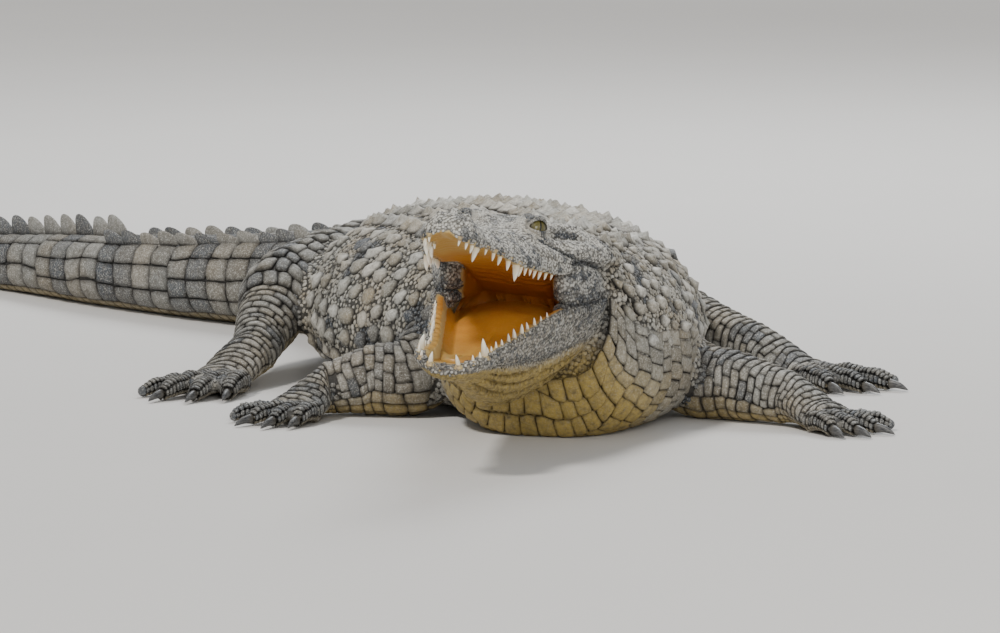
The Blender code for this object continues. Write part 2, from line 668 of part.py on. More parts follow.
def set_origin(collection):
    """Moves every piece so that the origin is under the middle of the animal's box, on the floor."""
    bpy.context.view_layer.update()
    corners = [obj.matrix_world @ Vector(corner) for obj in collection.objects for corner in obj.bound_box]
    low = Vector([min(corner[i] for corner in corners) for i in range(3)])
    high = Vector([max(corner[i] for corner in corners) for i in range(3)])
    middle = (low + high) / 2
    for obj in collection.objects:
        obj.location -= Vector((middle.x, middle.y, low.z))


def main():
    clear_scene()
    crocodile = bpy.data.collections.new("crocodile")
    cutters = bpy.data.collections.new("cutters")
    for collection in (crocodile, cutters):
        bpy.context.scene.collection.children.link(collection)
    cutters.hide_render = True
    hide = make_material("hide", HIDE_COLOUR, 0.7)
    mouth = make_material("mouth_lining", MOUTH_COLOUR, 0.4)
    eye_material = make_material("eye", EYE_COLOUR, 0.1)
    claw_material = make_material("claw", CLAW_COLOUR, 0.5)
    spine = Line(SPINE, BODY_LENGTH)
    trunk = build_trunk(spine, hide, crocodile)
    build_tail(spine, hide, crocodile)
    build_head(hide, mouth, eye_material, crocodile, cutters)
    body_cutters = [swollen_copy(piece, cutters) for piece in trunk]
    for name in LIMBS:
        kind, side = name.split("_")
        upper, lower = ("upper_arm", "forearm") if kind == "arm" else ("thigh", "shank")
        build_limb(name, (f"{upper}_{side}", f"{lower}_{side}"), body_cutters, hide, crocodile)
    for name in FEET:
        build_foot(name, hide, claw_material, crocodile)
    set_origin(crocodile)


main()
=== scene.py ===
"""The looks of a basking Nile crocodile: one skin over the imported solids, scales over the skin, teeth, eyes,
claws, a plain floor and soft light. Lengths are in metres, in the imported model's own frame."""

import json
from contextlib import contextmanager
from math import cos, pi, radians, sin

import bpy
import bmesh
import numpy as np
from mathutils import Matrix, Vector
from mathutils.bvhtree import BVHTree

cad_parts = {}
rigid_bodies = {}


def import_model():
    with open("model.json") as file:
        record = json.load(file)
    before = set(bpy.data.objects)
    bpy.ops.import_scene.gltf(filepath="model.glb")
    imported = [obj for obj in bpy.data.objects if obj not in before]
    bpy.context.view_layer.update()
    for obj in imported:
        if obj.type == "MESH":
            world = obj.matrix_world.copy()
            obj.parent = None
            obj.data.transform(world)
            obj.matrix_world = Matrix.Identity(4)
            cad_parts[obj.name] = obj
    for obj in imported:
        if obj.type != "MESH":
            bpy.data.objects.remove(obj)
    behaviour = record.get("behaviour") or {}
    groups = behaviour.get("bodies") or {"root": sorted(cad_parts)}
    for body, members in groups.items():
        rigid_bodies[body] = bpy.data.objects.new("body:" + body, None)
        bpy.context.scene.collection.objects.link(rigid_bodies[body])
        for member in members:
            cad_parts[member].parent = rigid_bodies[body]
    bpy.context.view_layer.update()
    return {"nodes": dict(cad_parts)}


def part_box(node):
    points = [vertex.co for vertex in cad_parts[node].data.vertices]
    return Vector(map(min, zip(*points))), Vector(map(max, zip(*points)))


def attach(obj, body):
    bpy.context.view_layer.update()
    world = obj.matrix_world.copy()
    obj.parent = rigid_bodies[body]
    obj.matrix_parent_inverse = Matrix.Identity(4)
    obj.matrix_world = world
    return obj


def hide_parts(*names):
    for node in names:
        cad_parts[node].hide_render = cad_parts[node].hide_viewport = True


bl_info = {
    "name": "Basking crocodile",
    "version": (1, 0, 0),
    "blender": (4, 5, 0),
    "location": "3D View > Sidebar > Crocodile",
    "description": "Skin, scales, teeth, eyes, claws and a stage for a basking crocodile",
    "category": "Object",
}

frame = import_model()

# ---- The animal's shape, as the solids have it ----

JAW_JOINT = np.array((0.036, -0.1, 0.221))
HEAD_YAW, HEAD_ROLL = radians(15.2), radians(-4.5)
SKULL_PITCH, JAW_PITCH = radians(14.9), radians(-8.0)
EYE_RADIUS = 0.0162
EYE_PLACE = np.array((0.166, 0.047, 0.0615))
BODY_LENGTH = 2.85

SPINE = (
    (0.036, -0.100), (0.077, 0.030), (0.096, 0.160), (0.050, 0.400), (-0.022, 0.640),
    (-0.082, 0.850), (-0.125, 1.000), (-0.200, 1.130), (-0.325, 1.245), (-0.480, 1.370),
    (-0.650, 1.540), (-0.820, 1.740), (-1.010, 1.910), (-1.230, 2.010), (-1.420, 2.030),
)
# Distance from the head, half width, height of the widest level, top, bottom, squareness above and below
BODY_SECTIONS = (
    (0.000, 0.130, 0.192, 0.308, 0.086, 2.1, 2.2),
    (0.032, 0.142, 0.165, 0.306, 0.030, 2.1, 2.3),
    (0.065, 0.152, 0.140, 0.303, -0.003, 2.1, 2.5),
    (0.108, 0.165, 0.120, 0.298, -0.006, 2.1, 2.8),
    (0.194, 0.182, 0.105, 0.290, -0.006, 2.0, 3.0),
    (0.290, 0.200, 0.100, 0.283, -0.006, 2.0, 3.0),
    (0.452, 0.250, 0.100, 0.278, -0.006, 2.0, 3.0),
    (0.645, 0.288, 0.100, 0.273, -0.006, 2.0, 3.0),
    (0.818, 0.272, 0.100, 0.262, -0.006, 2.1, 3.0),
    (0.968, 0.212, 0.098, 0.244, -0.006, 2.2, 3.0),
    (1.076, 0.166, 0.095, 0.222, -0.005, 2.3, 2.8),
    (1.205, 0.138, 0.090, 0.194, -0.004, 2.4, 2.6),
    (1.399, 0.113, 0.080, 0.163, -0.003, 2.6, 2.5),
    (1.614, 0.093, 0.070, 0.139, -0.003, 2.6, 2.4),
    (1.829, 0.077, 0.062, 0.122, -0.002, 2.6, 2.3),
    (2.044, 0.062, 0.054, 0.107, -0.002, 2.5, 2.2),
    (2.259, 0.048, 0.045, 0.090, -0.001, 2.4, 2.2),
    (2.474, 0.034, 0.036, 0.070, -0.001, 2.3, 2.2),
    (2.690, 0.021, 0.025, 0.047, -0.001, 2.2, 2.2),
    (2.850, 0.007, 0.010, 0.020, 0.000, 2.0, 2.0),
)
# Distance from the jaw joint, half width, lip, palate, top, squareness
SKULL_SECTIONS = (
    (-0.040, 0.121, 0.050, -0.020, 0.088, 2.6),
    (0.000, 0.121, 0.048, -0.018, 0.090, 2.7),
    (0.050, 0.114, 0.040, -0.012, 0.090, 2.8),
    (0.100, 0.104, 0.022, 0.000, 0.086, 2.6),
    (0.150, 0.093, 0.003, 0.009, 0.070, 2.3),
    (0.200, 0.080, -0.001, 0.010, 0.054, 2.2),
    (0.250, 0.072, -0.004, 0.007, 0.045, 2.1),
    (0.290, 0.069, -0.006, 0.005, 0.039, 2.1),
    (0.330, 0.054, -0.001, 0.008, 0.034, 2.2),
    (0.368, 0.040, 0.003, 0.010, 0.031, 2.3),
    (0.400, 0.041, -0.002, 0.006, 0.034, 2.4),
    (0.425, 0.036, -0.001, 0.006, 0.032, 2.4),
    (0.438, 0.024, 0.001, 0.006, 0.025, 2.2),
    (0.443, 0.009, 0.006, 0.008, 0.016, 2.0),
)
# Distance from the jaw joint, half width, lip, lowest level of the throat, squareness
JAW_SECTIONS = (
    (-0.040, 0.119, 0.004, -0.118, 1.9),
    (0.000, 0.121, 0.008, -0.128, 1.9),
    (0.050, 0.117, 0.013, -0.136, 1.8),
    (0.100, 0.107, 0.016, -0.136, 1.75),
    (0.150, 0.095, 0.015, -0.130, 1.7),
    (0.200, 0.083, 0.012, -0.117, 1.7),
    (0.250, 0.071, 0.008, -0.094, 1.7),
    (0.300, 0.059, 0.004, -0.068, 1.8),
    (0.350, 0.050, 0.004, -0.045, 2.0),
    (0.388, 0.051, 0.008, -0.030, 2.2),
    (0.414, 0.041, 0.006, -0.025, 2.2),
    (0.426, 0.024, 0.002, -0.019, 2.0),
    (0.431, 0.008, -0.004, -0.012, 2.0),
)
UPPER_TEETH = (
    (0.436, 0.008), (0.428, 0.010), (0.414, 0.012), (0.399, 0.020), (0.384, 0.011),
    (0.356, 0.008), (0.341, 0.011), (0.326, 0.014), (0.310, 0.016), (0.290, 0.024),
    (0.270, 0.014), (0.252, 0.011), (0.235, 0.010), (0.218, 0.011), (0.201, 0.012),
    (0.185, 0.010), (0.170, 0.008),
)
LOWER_TEETH = (
    (0.425, 0.015), (0.413, 0.009), (0.400, 0.010), (0.386, 0.023), (0.368, 0.008),
    (0.350, 0.007), (0.332, 0.008), (0.314, 0.009), (0.296, 0.011), (0.278, 0.014),
    (0.260, 0.014), (0.242, 0.011), (0.224, 0.010), (0.206, 0.008), (0.188, 0.007),
)
LIMBS = {
    "arm_left": (((0.205, 0.275, 0.125), 0.060, 0.062), ((0.268, 0.170, 0.062), 0.052, 0.056),
                 ((0.345, 0.122, 0.050), 0.046, 0.049), ((0.415, 0.075, 0.040), 0.037, 0.038)),
    "arm_right": (((-0.060, 0.290, 0.125), 0.060, 0.062), ((-0.118, 0.182, 0.062), 0.052, 0.056),
                  ((-0.186, 0.178, 0.052), 0.047, 0.050), ((-0.248, 0.178, 0.040), 0.038, 0.038)),
    "leg_left": (((-0.015, 0.900, 0.125), 0.080, 0.074), ((0.205, 0.752, 0.096), 0.062, 0.060),
                 ((0.300, 0.655, 0.072), 0.048, 0.048), ((0.388, 0.565, 0.050), 0.036, 0.037)),
    "leg_right": (((-0.165, 0.870, 0.140), 0.086, 0.080), ((-0.322, 0.690, 0.122), 0.062, 0.066),
                  ((-0.352, 0.600, 0.086), 0.047, 0.050), ((-0.372, 0.520, 0.048), 0.036, 0.037)),
}
HAND_TOES = ((-19, 0.05, 0.0125), (-9, 0.072, 0.0125), (7, 0.074, 0.012), (27, 0.072, 0.01), (48, 0.052, 0.009))
FOOT_TOES = ((-17, 0.065, 0.0145), (-6, 0.098, 0.0145), (6, 0.11, 0.014), (19, 0.092, 0.011))
# Heading in degrees, palm length and width, side, toes as turn, length past the palm and radius
FEET = {
    "arm_left": (-43, 0.088, 0.046, 1, HAND_TOES),
    "arm_right": (-131, 0.088, 0.046, -1, HAND_TOES),
    "leg_left": (-38, 0.125, 0.048, 1, FOOT_TOES),
    "leg_right": (-118, 0.125, 0.048, -1, FOOT_TOES),
}
TAIL_START, SINGLE_CREST_FROM, WHORL_LENGTH = 1.14, 1.85, 0.0445
TAIL_PARTS = (1.14, 1.485, SINGLE_CREST_FROM, 2.17, 2.5, BODY_LENGTH)
DOUBLE_CREST_HEIGHT, SINGLE_CREST_HEIGHT, CREST_ANGLE = 0.018, 0.034, radians(34)
# Lowest levels of the scales and of the skin, and how far over the ground the claws and the toes' tips stay
SCALE_FLOOR, SKIN_FLOOR, CLAW_FLOOR = 0.0012, 0.003, 0.0008
BAKE_PATCH = 0.0014  # Half the width of a scale on the bake map
CURVE_STEPS = 1201

# ---- Sizes on smooth curves, and the tubes that the body and the limbs are ----


class Table:
    """Columns of a table on smooth curves that never overshoot."""

    def __init__(self, rows):
        x = np.array([row[0] for row in rows])
        self.x = np.linspace(x[0], x[-1], CURVE_STEPS)
        row = np.clip(np.searchsorted(x, self.x, side="right") - 1, 0, len(x) - 2)
        step = x[row + 1] - x[row]
        t = (self.x - x[row]) / step
        self.columns = []
        for column in np.array(rows)[:, 1:].T:
            grade = np.diff(column) / np.diff(x)
            slope = np.zeros(len(x))
            level = grade[:-1] * grade[1:] <= 0
            slope[1:-1] = np.where(level, 0, 2 * grade[:-1] * grade[1:] / np.where(level, 1, grade[:-1] + grade[1:]))
            self.columns.append(
                column[row] * (1 + 2 * t) * (1 - t) ** 2 + slope[row] * step * t * (1 - t) ** 2
                + column[row + 1] * t * t * (3 - 2 * t) - slope[row + 1] * step * t * t * (1 - t)
            )

    def __call__(self, place):
        return [np.interp(place, self.x, column) for column in self.columns]


def curve_points(knots, steps=24):
    """Points of a smooth curve through the knots."""
    knots = np.array(knots, float)
    ends = np.vstack((2 * knots[0] - knots[1], knots, 2 * knots[-1] - knots[-2]))
    points = []
    for a, b, c, d in zip(ends, ends[1:], ends[2:], ends[3:]):
        for t in np.arange(steps) / steps:
            points.append(0.5 * (2 * b + (c - a) * t + (2 * a - 5 * b + 4 * c - d) * t * t
                                 + (3 * b - a - 3 * c + d) * t ** 3))
    return np.array(points + [knots[-1]])


def read_rows(s, stations, rows):
    """Rows read at places between their stations."""
    return np.stack([np.interp(s, stations, column) for column in np.transpose(rows)], -1)


class Line:
    """A smooth curve sampled evenly, with its points and directions."""

    def __init__(self, knots, reach=0.02):
        points = curve_points(knots)
        steps = np.linalg.norm(np.diff(points, axis=0), axis=1)
        along = np.concatenate(([0], np.cumsum(steps)))
        self.length = along[-1]
        self.s = np.linspace(0, self.length, CURVE_STEPS)
        self.points = read_rows(self.s, along, points)
        ahead = self.at(self.s + reach) - self.at(self.s - reach)
        self.headings = ahead / np.linalg.norm(ahead, axis=1)[:, None]

    def at(self, s):
        return read_rows(s, self.s, self.points)

    def heading(self, s):
        return unit(read_rows(s, self.s, self.headings))


def power(value, exponent):
    return np.sign(value) * np.abs(value) ** exponent


def unit(vectors):
    return vectors / np.maximum(np.linalg.norm(vectors, axis=-1, keepdims=True), 1e-12)


def above(points, floor):
    """The points, none of them lower than the floor."""
    points[..., 2] = np.maximum(points[..., 2], floor)
    return points


def circle(count):
    """Angles evenly round a circle."""
    return np.linspace(0, 2 * pi, count, endpoint=False)


class Tube:
    """A surface round a line. s runs along it, and v round it from 0 on top to 1 underneath, or to -1 on the right."""

    def normal(self, s, v, inset):
        e = 0.002
        girth = np.maximum(self.girth(s), 0.01)
        along = self.point(s + e, v, inset) - self.point(s - e, v, inset)
        around = self.point(s, v + e / girth, inset) - self.point(s, v - e / girth, inset)
        out = unit(np.cross(around, along))
        centre = self.centre(s)
        flip = np.sign(np.sum((self.point(s, v, inset) - centre) * out, axis=-1, keepdims=True))
        return out * np.where(flip == 0, 1, flip)

    def lifted(self, s, v, height, inset):
        """Points at a height over the surface, none of them under the floor."""
        points = self.point(s, v, inset) + self.normal(s, v, inset) * np.asarray(height)[..., None]
        return above(points, SCALE_FLOOR)

    def loft(self, start, end, inset, along, sides, taper):
        """Vertices and faces of a closed loft of this tube. taper narrows it at either end over that length."""
        s = np.linspace(start, end, along)
        v = np.linspace(-1, 1, sides + 1)[:-1]
        points = self.point(s[:, None], v[None, :], inset)
        inner = np.clip(np.minimum(s - start, end - s) / taper, 0, 1)
        share = 0.55 + 0.45 * np.sin(inner * pi / 2)
        centre = self.centre(s)[:, None, :]
        return grid_shell(above(centre + (points - centre) * share[:, None, None], SKIN_FLOOR))


def grid_quads(rings, count):
    """Faces between rings of points."""
    i, j = np.meshgrid(np.arange(rings - 1), np.arange(count), indexing="ij")
    k = (j + 1) % count
    return np.stack((i * count + j, (i + 1) * count + j, (i + 1) * count + k, i * count + k), -1).reshape(-1, 4)


def grid_shell(points):
    """A closed shell over rings of points: faces between the rings, and a fan at each end."""
    rings, count, _ = points.shape
    vertices = np.vstack((points.reshape(-1, 3), points[0].mean(0), points[-1].mean(0)))
    faces = grid_quads(rings, count).tolist()
    first, last = rings * count, rings * count + 1
    for j in range(count):
        k = (j + 1) % count
        faces += [[first, j, k], [last, (rings - 1) * count + k, (rings - 1) * count + j]]
    return vertices, faces


class Body(Tube):
    """The neck, trunk and tail."""

    def __init__(self):
        self.line = Line(SPINE)
        scale = self.line.length / BODY_LENGTH
        self.s = np.linspace(0, BODY_LENGTH, CURVE_STEPS)
        self.points2 = self.line.at(self.s * scale)
        heading = self.line.heading(self.s * scale)
        self.left2 = np.stack((heading[:, 1], -heading[:, 0]), 1)
        self.sizes = Table(BODY_SECTIONS)(self.s)
        self.v = np.linspace(0, 1, 65)
        a = np.linspace(0, pi, 121)
        self.coarse = np.linspace(0, BODY_LENGTH, 191)
        across, up = self.outline(self.coarse[:, None], a, 0.0)
        reach = np.hypot(np.diff(across, axis=1), np.diff(up, axis=1)).cumsum(1)
        reach = np.hstack((np.zeros((len(reach), 1)), reach))
        self.half_girth = reach[:, -1]
        self.angles = np.array([np.interp(self.v, r / r[-1], a) for r in reach])

    def outline(self, s, a, inset):
        """Distance across and height of the outline at an angle from its top."""
        width, widest, top, bottom, square_top, square_bottom = [np.interp(s, self.s, c) for c in self.sizes]
        width, top, bottom = width - inset, top - inset, bottom + inset * 0.5
        upper = np.cos(a) >= 0
        square = np.where(upper, square_top, square_bottom)
        up = widest + np.where(upper, top - widest, widest - bottom) * power(np.cos(a), 2 / square)
        return width * power(np.sin(a), 2 / square), np.maximum(up, 0)

    def girth(self, s):
        return np.interp(s, self.coarse, self.half_girth)

    def angle(self, s, v):
        s, v = np.broadcast_arrays(s, np.abs(v))
        row = np.clip(s / BODY_LENGTH * (len(self.coarse) - 1), 0, len(self.coarse) - 1.001)
        column = np.clip(v * (len(self.v) - 1), 0, len(self.v) - 1.001)
        i, j = row.astype(int), column.astype(int)
        f, g = row - i, column - j
        t = self.angles
        return (t[i, j] * (1 - f) * (1 - g) + t[i + 1, j] * f * (1 - g)
                + t[i, j + 1] * (1 - f) * g + t[i + 1, j + 1] * f * g)

    def centre(self, s):
        flat = read_rows(s, self.s, self.points2) + SHIFT[:2]
        return np.concatenate((flat, np.interp(s, self.s, self.sizes[1])[..., None]), -1)

    def point(self, s, v, inset=0.0):
        s, v = np.broadcast_arrays(np.asarray(s, float), np.asarray(v, float))
        v = (v + 1) % 2 - 1
        across, up = self.outline(s, self.angle(s, v), inset)
        middle, left = read_rows(s, self.s, self.points2), read_rows(s, self.s, self.left2)
        flat = middle + left * (across * np.sign(v))[..., None] + SHIFT[:2]
        return np.concatenate((flat, up[..., None]), -1)


class Limb(Tube):
    """A limb with its palm, or a toe: an oval round a line, from arrays of stations."""

    def __init__(self, centres, headings, half_widths, half_heights):
        centres = np.array(centres)
        steps = np.linalg.norm(np.diff(centres, axis=0), axis=1)
        self.s = np.concatenate(([0], np.cumsum(steps)))
        self.length = self.s[-1]
        self.centres = centres + SHIFT
        headings = unit(np.array(headings))
        self.across = unit(np.cross(headings, (0, 0, 1)))
        self.over = np.cross(self.across, headings)
        self.half_widths, self.half_heights = np.array(half_widths), np.array(half_heights)

    def read(self, s, rows):
        return read_rows(s, self.s, rows)

    def centre(self, s):
        return self.read(s, self.centres)

    def girth(self, s):
        return pi * (np.interp(s, self.s, self.half_widths) + np.interp(s, self.s, self.half_heights)) / 2

    def point(self, s, v, inset=0.0):
        s, v = np.broadcast_arrays(np.asarray(s, float), np.asarray(v, float))
        width = np.interp(s, self.s, self.half_widths) - inset
        height = np.interp(s, self.s, self.half_heights) - inset
        points = (self.centre(s) + self.read(s, self.across) * (width * np.sin(-pi * v))[..., None]
                  + self.read(s, self.over) * (height * np.cos(pi * v))[..., None])
        return above(points, 0)


def limb_tube(name):
    """One tube from the shoulder or hip to the knuckles of the foot, with where the wrist is on it."""
    degrees, palm_length, palm_width, side, toes = FEET[name]
    stations = LIMBS[name]
    line = Line([place for place, _, _ in stations])
    places = [line.s[np.argmin(np.linalg.norm(line.points - np.array(p), axis=1))] for p, _, _ in stations]
    table = Table([(s, w, h) for s, (_, w, h) in zip(places, stations)])
    s = np.linspace(0, line.length, 60)
    widths, heights = table(s)
    centres, headings = list(line.at(s)), list(line.heading(s))
    wrist, arrival = centres[-1], headings[-1]
    heading = np.array((cos(radians(degrees)), sin(radians(degrees)), 0))
    start_width, start_height = widths[-1], heights[-1]
    widths, heights = list(widths), list(heights)
    for along in np.linspace(0.04, 1, 24):
        share = np.interp(along, (0, 0.3, 0.6, 0.85, 1), (0, 0.35, 0.75, 1, 0.98))
        height = np.interp(along, (0, 0.3, 0.6, 0.85, 1), (start_height, 0.03, 0.024, 0.02, 0.015))
        turn = min(1.0, along * 1.8)
        centre = wrist + heading * palm_length * along
        centre[2] = wrist[2] + (height * 0.9 - wrist[2]) * min(1.0, along * 1.5)
        centres.append(centre)
        headings.append(arrival * (1 - turn) + heading * turn)
        widths.append(start_width + (palm_width - start_width) * share)
        heights.append(height)
    tube = Limb(centres, headings, widths, heights)
    tube.wrist = line.length
    tube.toes = []
    for number, (turn, length, radius) in enumerate(toes):
        angle = radians(degrees + side * turn)
        direction = np.array((cos(angle), sin(angle), 0))
        spread = palm_width * (2 * number / (len(toes) - 1) - 1) * 0.74
        root = wrist + heading * palm_length * 0.8 + np.array((-heading[1], heading[0], 0)) * side * spread
        reach = length + palm_length * 0.2
        along = np.linspace(0, 1, 24)
        sizes = radius * np.interp(along, (0.0, 0.45, 0.8, 1.0), (1.25, 1.12, 0.98, 0.74))
        sizes = sizes * (1 + 0.06 * np.cos((along - 0.42) * 6 * pi))
        middles = root + direction * reach * along[:, None]
        middles[:, 2] = sizes * 0.92 + 0.006 * np.sin(pi * along)
        toe = Limb(middles, np.tile(direction, (24, 1)), sizes, sizes)
        toe.direction, toe.number = direction, number
        tube.toes.append(toe)
    return tube


# ---- The head ----


def head_frame(pitch):
    """Rotation whose columns are the snout's direction, the animal's left and up."""
    forward = np.array((-sin(HEAD_YAW), -cos(HEAD_YAW), 0))
    left = np.array((cos(HEAD_YAW), -sin(HEAD_YAW), 0))
    snout = forward * cos(pitch) + np.array((0, 0, sin(pitch)))
    crown = np.array((0, 0, cos(pitch))) - forward * sin(pitch)
    side = left * cos(HEAD_ROLL) + crown * sin(HEAD_ROLL)
    crown = crown * cos(HEAD_ROLL) - left * sin(HEAD_ROLL)
    return np.stack((snout, side, crown), 1)


SKULL_AXES, JAW_AXES = head_frame(SKULL_PITCH), head_frame(JAW_PITCH)
MIDDLE_AXES = head_frame((SKULL_PITCH + JAW_PITCH) / 2)
EYE_BOX = np.array(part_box("eye_left"))
SHIFT = EYE_BOX.mean(0) - (JAW_JOINT + SKULL_AXES @ EYE_PLACE)
SHIFT[2] = 0.0
JOINT = JAW_JOINT + SHIFT
SKULL, JAW = Table(SKULL_SECTIONS), Table(JAW_SECTIONS)


def to_world(local, axes):
    return np.asarray(local) @ axes.T + JOINT


def to_local(points, axes):
    return (np.asarray(points) - JOINT) @ axes


def bell(value, middle, reach):
    return np.exp(-((value - middle) / reach) ** 2)


def bell_side(x, y, at_x, at_y, reach_x, reach_y):
    return bell(x, at_x, reach_x) * bell(np.abs(y), at_y, reach_y)


def skull_loft(inset):
    """The upper jaw and brain case as a closed shell, inside the solid by the inset."""
    count, sides = 180, 72
    x = np.linspace(-0.05, 0.4425 - inset * 0.6, count)[:, None]
    width, lip, palate, top, square = SKULL(x)
    a = np.linspace(0, pi, sides)[None, :]
    share = power(np.cos(a), 2 / square)
    y = (width - inset) * share
    z = lip + (top - inset - lip) * np.sin(a) ** (2 / square)
    z = z + 0.02 * bell_side(x, y, EYE_PLACE[0] - 0.006, EYE_PLACE[1] - 0.013, 0.026, 0.017)
    z = z + 0.014 * bell_side(x, y, 0.408, 0.0, 0.02, 0.022)
    inner = np.maximum(width - 0.011, width * 0.5)
    t = np.linspace(-1, 1, 31)[None, :]
    y_low = inner * t
    z_low = palate + (lip - palate) * np.clip((np.abs(t) - 0.45) / 0.55, 0, 1) ** 1.5 + inset * 0.8
    points = np.stack((np.broadcast_to(x, (count, sides + 31)), np.hstack((y, y_low)), np.hstack((z, z_low))), -1)
    return grid_shell(to_world(points, SKULL_AXES))


def jaw_floor(x):
    width, lip, bottom, square = JAW(x)
    return np.maximum(width - 0.015, width * 0.45), lip - np.minimum(0.022, 0.4 * (lip - bottom))


def jaw_loft(inset):
    """The lower jaw with its throat skin as a closed shell."""
    count, sides = 150, 60
    x = np.linspace(-0.05, 0.4305 - inset * 0.6, count)[:, None]
    width, lip, bottom, square = JAW(x)
    a = np.linspace(pi, 2 * pi, sides)[None, :]
    y = (width - inset) * power(np.cos(a), 2 / square)
    # The bone is upright at the sides, and the throat skin hangs between its halves
    z = lip + (lip - bottom - inset) * power(np.sin(a), 2 / square)
    inner, floor = jaw_floor(x)
    t = np.linspace(1, -1, 31)[None, :]
    y_low = inner * t
    z_low = np.where(np.abs(t) > 0.86, floor + (lip - 0.001 - floor) * (np.abs(t) - 0.86) / 0.14, floor) - inset
    points = np.stack((np.broadcast_to(x, (count, sides + 31)), np.hstack((y, y_low)), np.hstack((z, z_low))), -1)
    return grid_shell(to_world(points, JAW_AXES))


def floor_drop(x, y):
    """How far the floor of the mouth sinks between the jaw bones, most of all in the throat."""
    deep = 0.024 * until(x, 0.27, 0.35) + 0.01 * until(x, 0.09, 0.17)
    return deep * fade(jaw_floor(x)[0] - np.abs(y), 0.001, 0.022)


def cheek_loft(side, inset):
    """The muscle that joins the jaws at the corner of the mouth, bulging a little."""
    table = Table(((-0.05, 0.108, 0.05, 0.044), (0.03, 0.11, 0.056, 0.042), (0.075, 0.106, 0.066, 0.044),
                   (0.105, 0.098, 0.072, 0.048), (0.124, 0.09, 0.079, 0.052)))
    x = np.linspace(-0.05, 0.122, 50)[:, None]
    outer, inner, reach = table(x)
    outer = outer + 0.004 * bell(x, 0.06, 0.05)
    a = circle(28)[None]
    y = side * ((outer + inner) / 2 + ((outer - inner) / 2 - inset) * power(np.cos(a), 0.8))
    z = 0.012 + reach * power(np.sin(a), 0.8)
    points = np.stack((np.broadcast_to(x, y.shape), y, z), -1)
    return grid_shell(to_world(points, MIDDLE_AXES))


# ---- Meshes ----


def make_mesh(name, vertices, faces):
    """A linked object. faces is a list of index lists, or an array with one face a row."""
    mesh = bpy.data.meshes.new(name)
    if isinstance(faces, np.ndarray):
        count, sides = faces.shape
        mesh.vertices.add(len(vertices))
        mesh.vertices.foreach_set("co", np.asarray(vertices, np.float32).ravel())
        mesh.loops.add(count * sides)
        mesh.loops.foreach_set("vertex_index", faces.astype(np.int32).ravel())
        mesh.polygons.add(count)
        mesh.polygons.foreach_set("loop_start", np.arange(count, dtype=np.int32) * sides)
        mesh.update(calc_edges=True)
    else:
        mesh.from_pydata(np.asarray(vertices).tolist(), [], faces)
    obj = bpy.data.objects.new(name, mesh)
    bpy.context.scene.collection.objects.link(obj)
    return obj


@contextmanager
def editing(obj):
    """The object's mesh as a bmesh, which is written back at the end."""
    mesh = bmesh.new()
    mesh.from_mesh(obj.data)
    yield mesh
    mesh.to_mesh(obj.data)
    mesh.free()


def join_shells(name, shells, merge=True):
    """One object of several closed shells, all facing out."""
    vertices, faces, count = [], [], 0
    for points, sides in shells:
        vertices.append(points)
        faces += [[count + i for i in side] for side in sides]
        count += len(points)
    obj = make_mesh(name, np.vstack(vertices), faces)
    with editing(obj) as mesh:
        if merge:
            bmesh.ops.remove_doubles(mesh, verts=mesh.verts, dist=1e-6)
        bmesh.ops.recalc_face_normals(mesh, faces=mesh.faces)
    return obj


def keep_result(obj):
    """Replaces an object's mesh with what its modifiers make of it, and drops them."""
    graph = bpy.context.evaluated_depsgraph_get()
    result = bpy.data.meshes.new_from_object(obj.evaluated_get(graph))
    obj.modifiers.clear()
    obj.data = result


def remesh(obj, size):
    modifier = obj.modifiers.new("remesh", "REMESH")
    modifier.mode = "VOXEL"
    modifier.voxel_size = size
    keep_result(obj)


def read(items, key, width=1, kind=np.float32):
    """A number, or a row of them, for each item of a mesh."""
    values = np.empty(len(items) * width, kind)
    items.foreach_get(key, values)
    return values.reshape(-1, width) if width > 1 else values


def read_points(obj):
    return read(obj.data.vertices, "co", 3).astype(float)


def write_points(obj, points):
    obj.data.vertices.foreach_set("co", points.astype(np.float32).ravel())
    obj.data.update()


def read_normals(obj):
    return read(obj.data.vertex_normals, "vector", 3).astype(float)


def read_values(obj, name):
    return read(obj.data.attributes[name].data, "value").astype(float)


def read_vectors(obj, name):
    return read(obj.data.attributes[name].data, "vector", 3)


def edges_of(obj):
    return read(obj.data.edges, "vertices", 2, np.int32)


def corners_of(obj):
    return read(obj.data.loops, "vertex_index", 1, np.int32)


def smoothed(points, edges, weight, rounds):
    """Points drawn towards the mean of their neighbours by a weight for each, several times."""
    count = np.bincount(edges.ravel(), minlength=len(points))[:, None]
    for _ in range(rounds):
        total = np.stack([
            np.bincount(edges[:, 0], points[edges[:, 1], i], len(points))
            + np.bincount(edges[:, 1], points[edges[:, 0], i], len(points)) for i in range(3)], 1)
        points = points + (total / np.maximum(count, 1) - points) * np.reshape(weight, (-1, 1))
    return points


def remove(*objects):
    for obj in objects:
        data = obj.data
        bpy.data.objects.remove(obj)
        bpy.data.meshes.remove(data)


def add_values(obj, name, values):
    """A number or a vector for each vertex, kept on the mesh for the material."""
    values = np.asarray(values, np.float32)
    kind, key = ("FLOAT_VECTOR", "vector") if values.ndim > 1 else ("FLOAT", "value")
    obj.data.attributes.new(name, kind, "POINT").data.foreach_set(key, values.ravel())


# ---- The skin ----

BODY = Body()
TUBES = {name: limb_tube(name) for name in LIMBS}
FLESH = [name for name in frame["nodes"] if not name.startswith("eye") and "claw" not in name and name != "tongue"]
FORWARD = np.array((-sin(HEAD_YAW), -cos(HEAD_YAW), 0.0))
SIDES = {1: "left", -1: "right"}
EYE_LOOK = {side: unit(SKULL_AXES @ np.array((0.68, side * 0.7, 0.18))) for side in SIDES}


def eye_centre(side):
    return to_world(EYE_PLACE * (1, side, 1), SKULL_AXES)


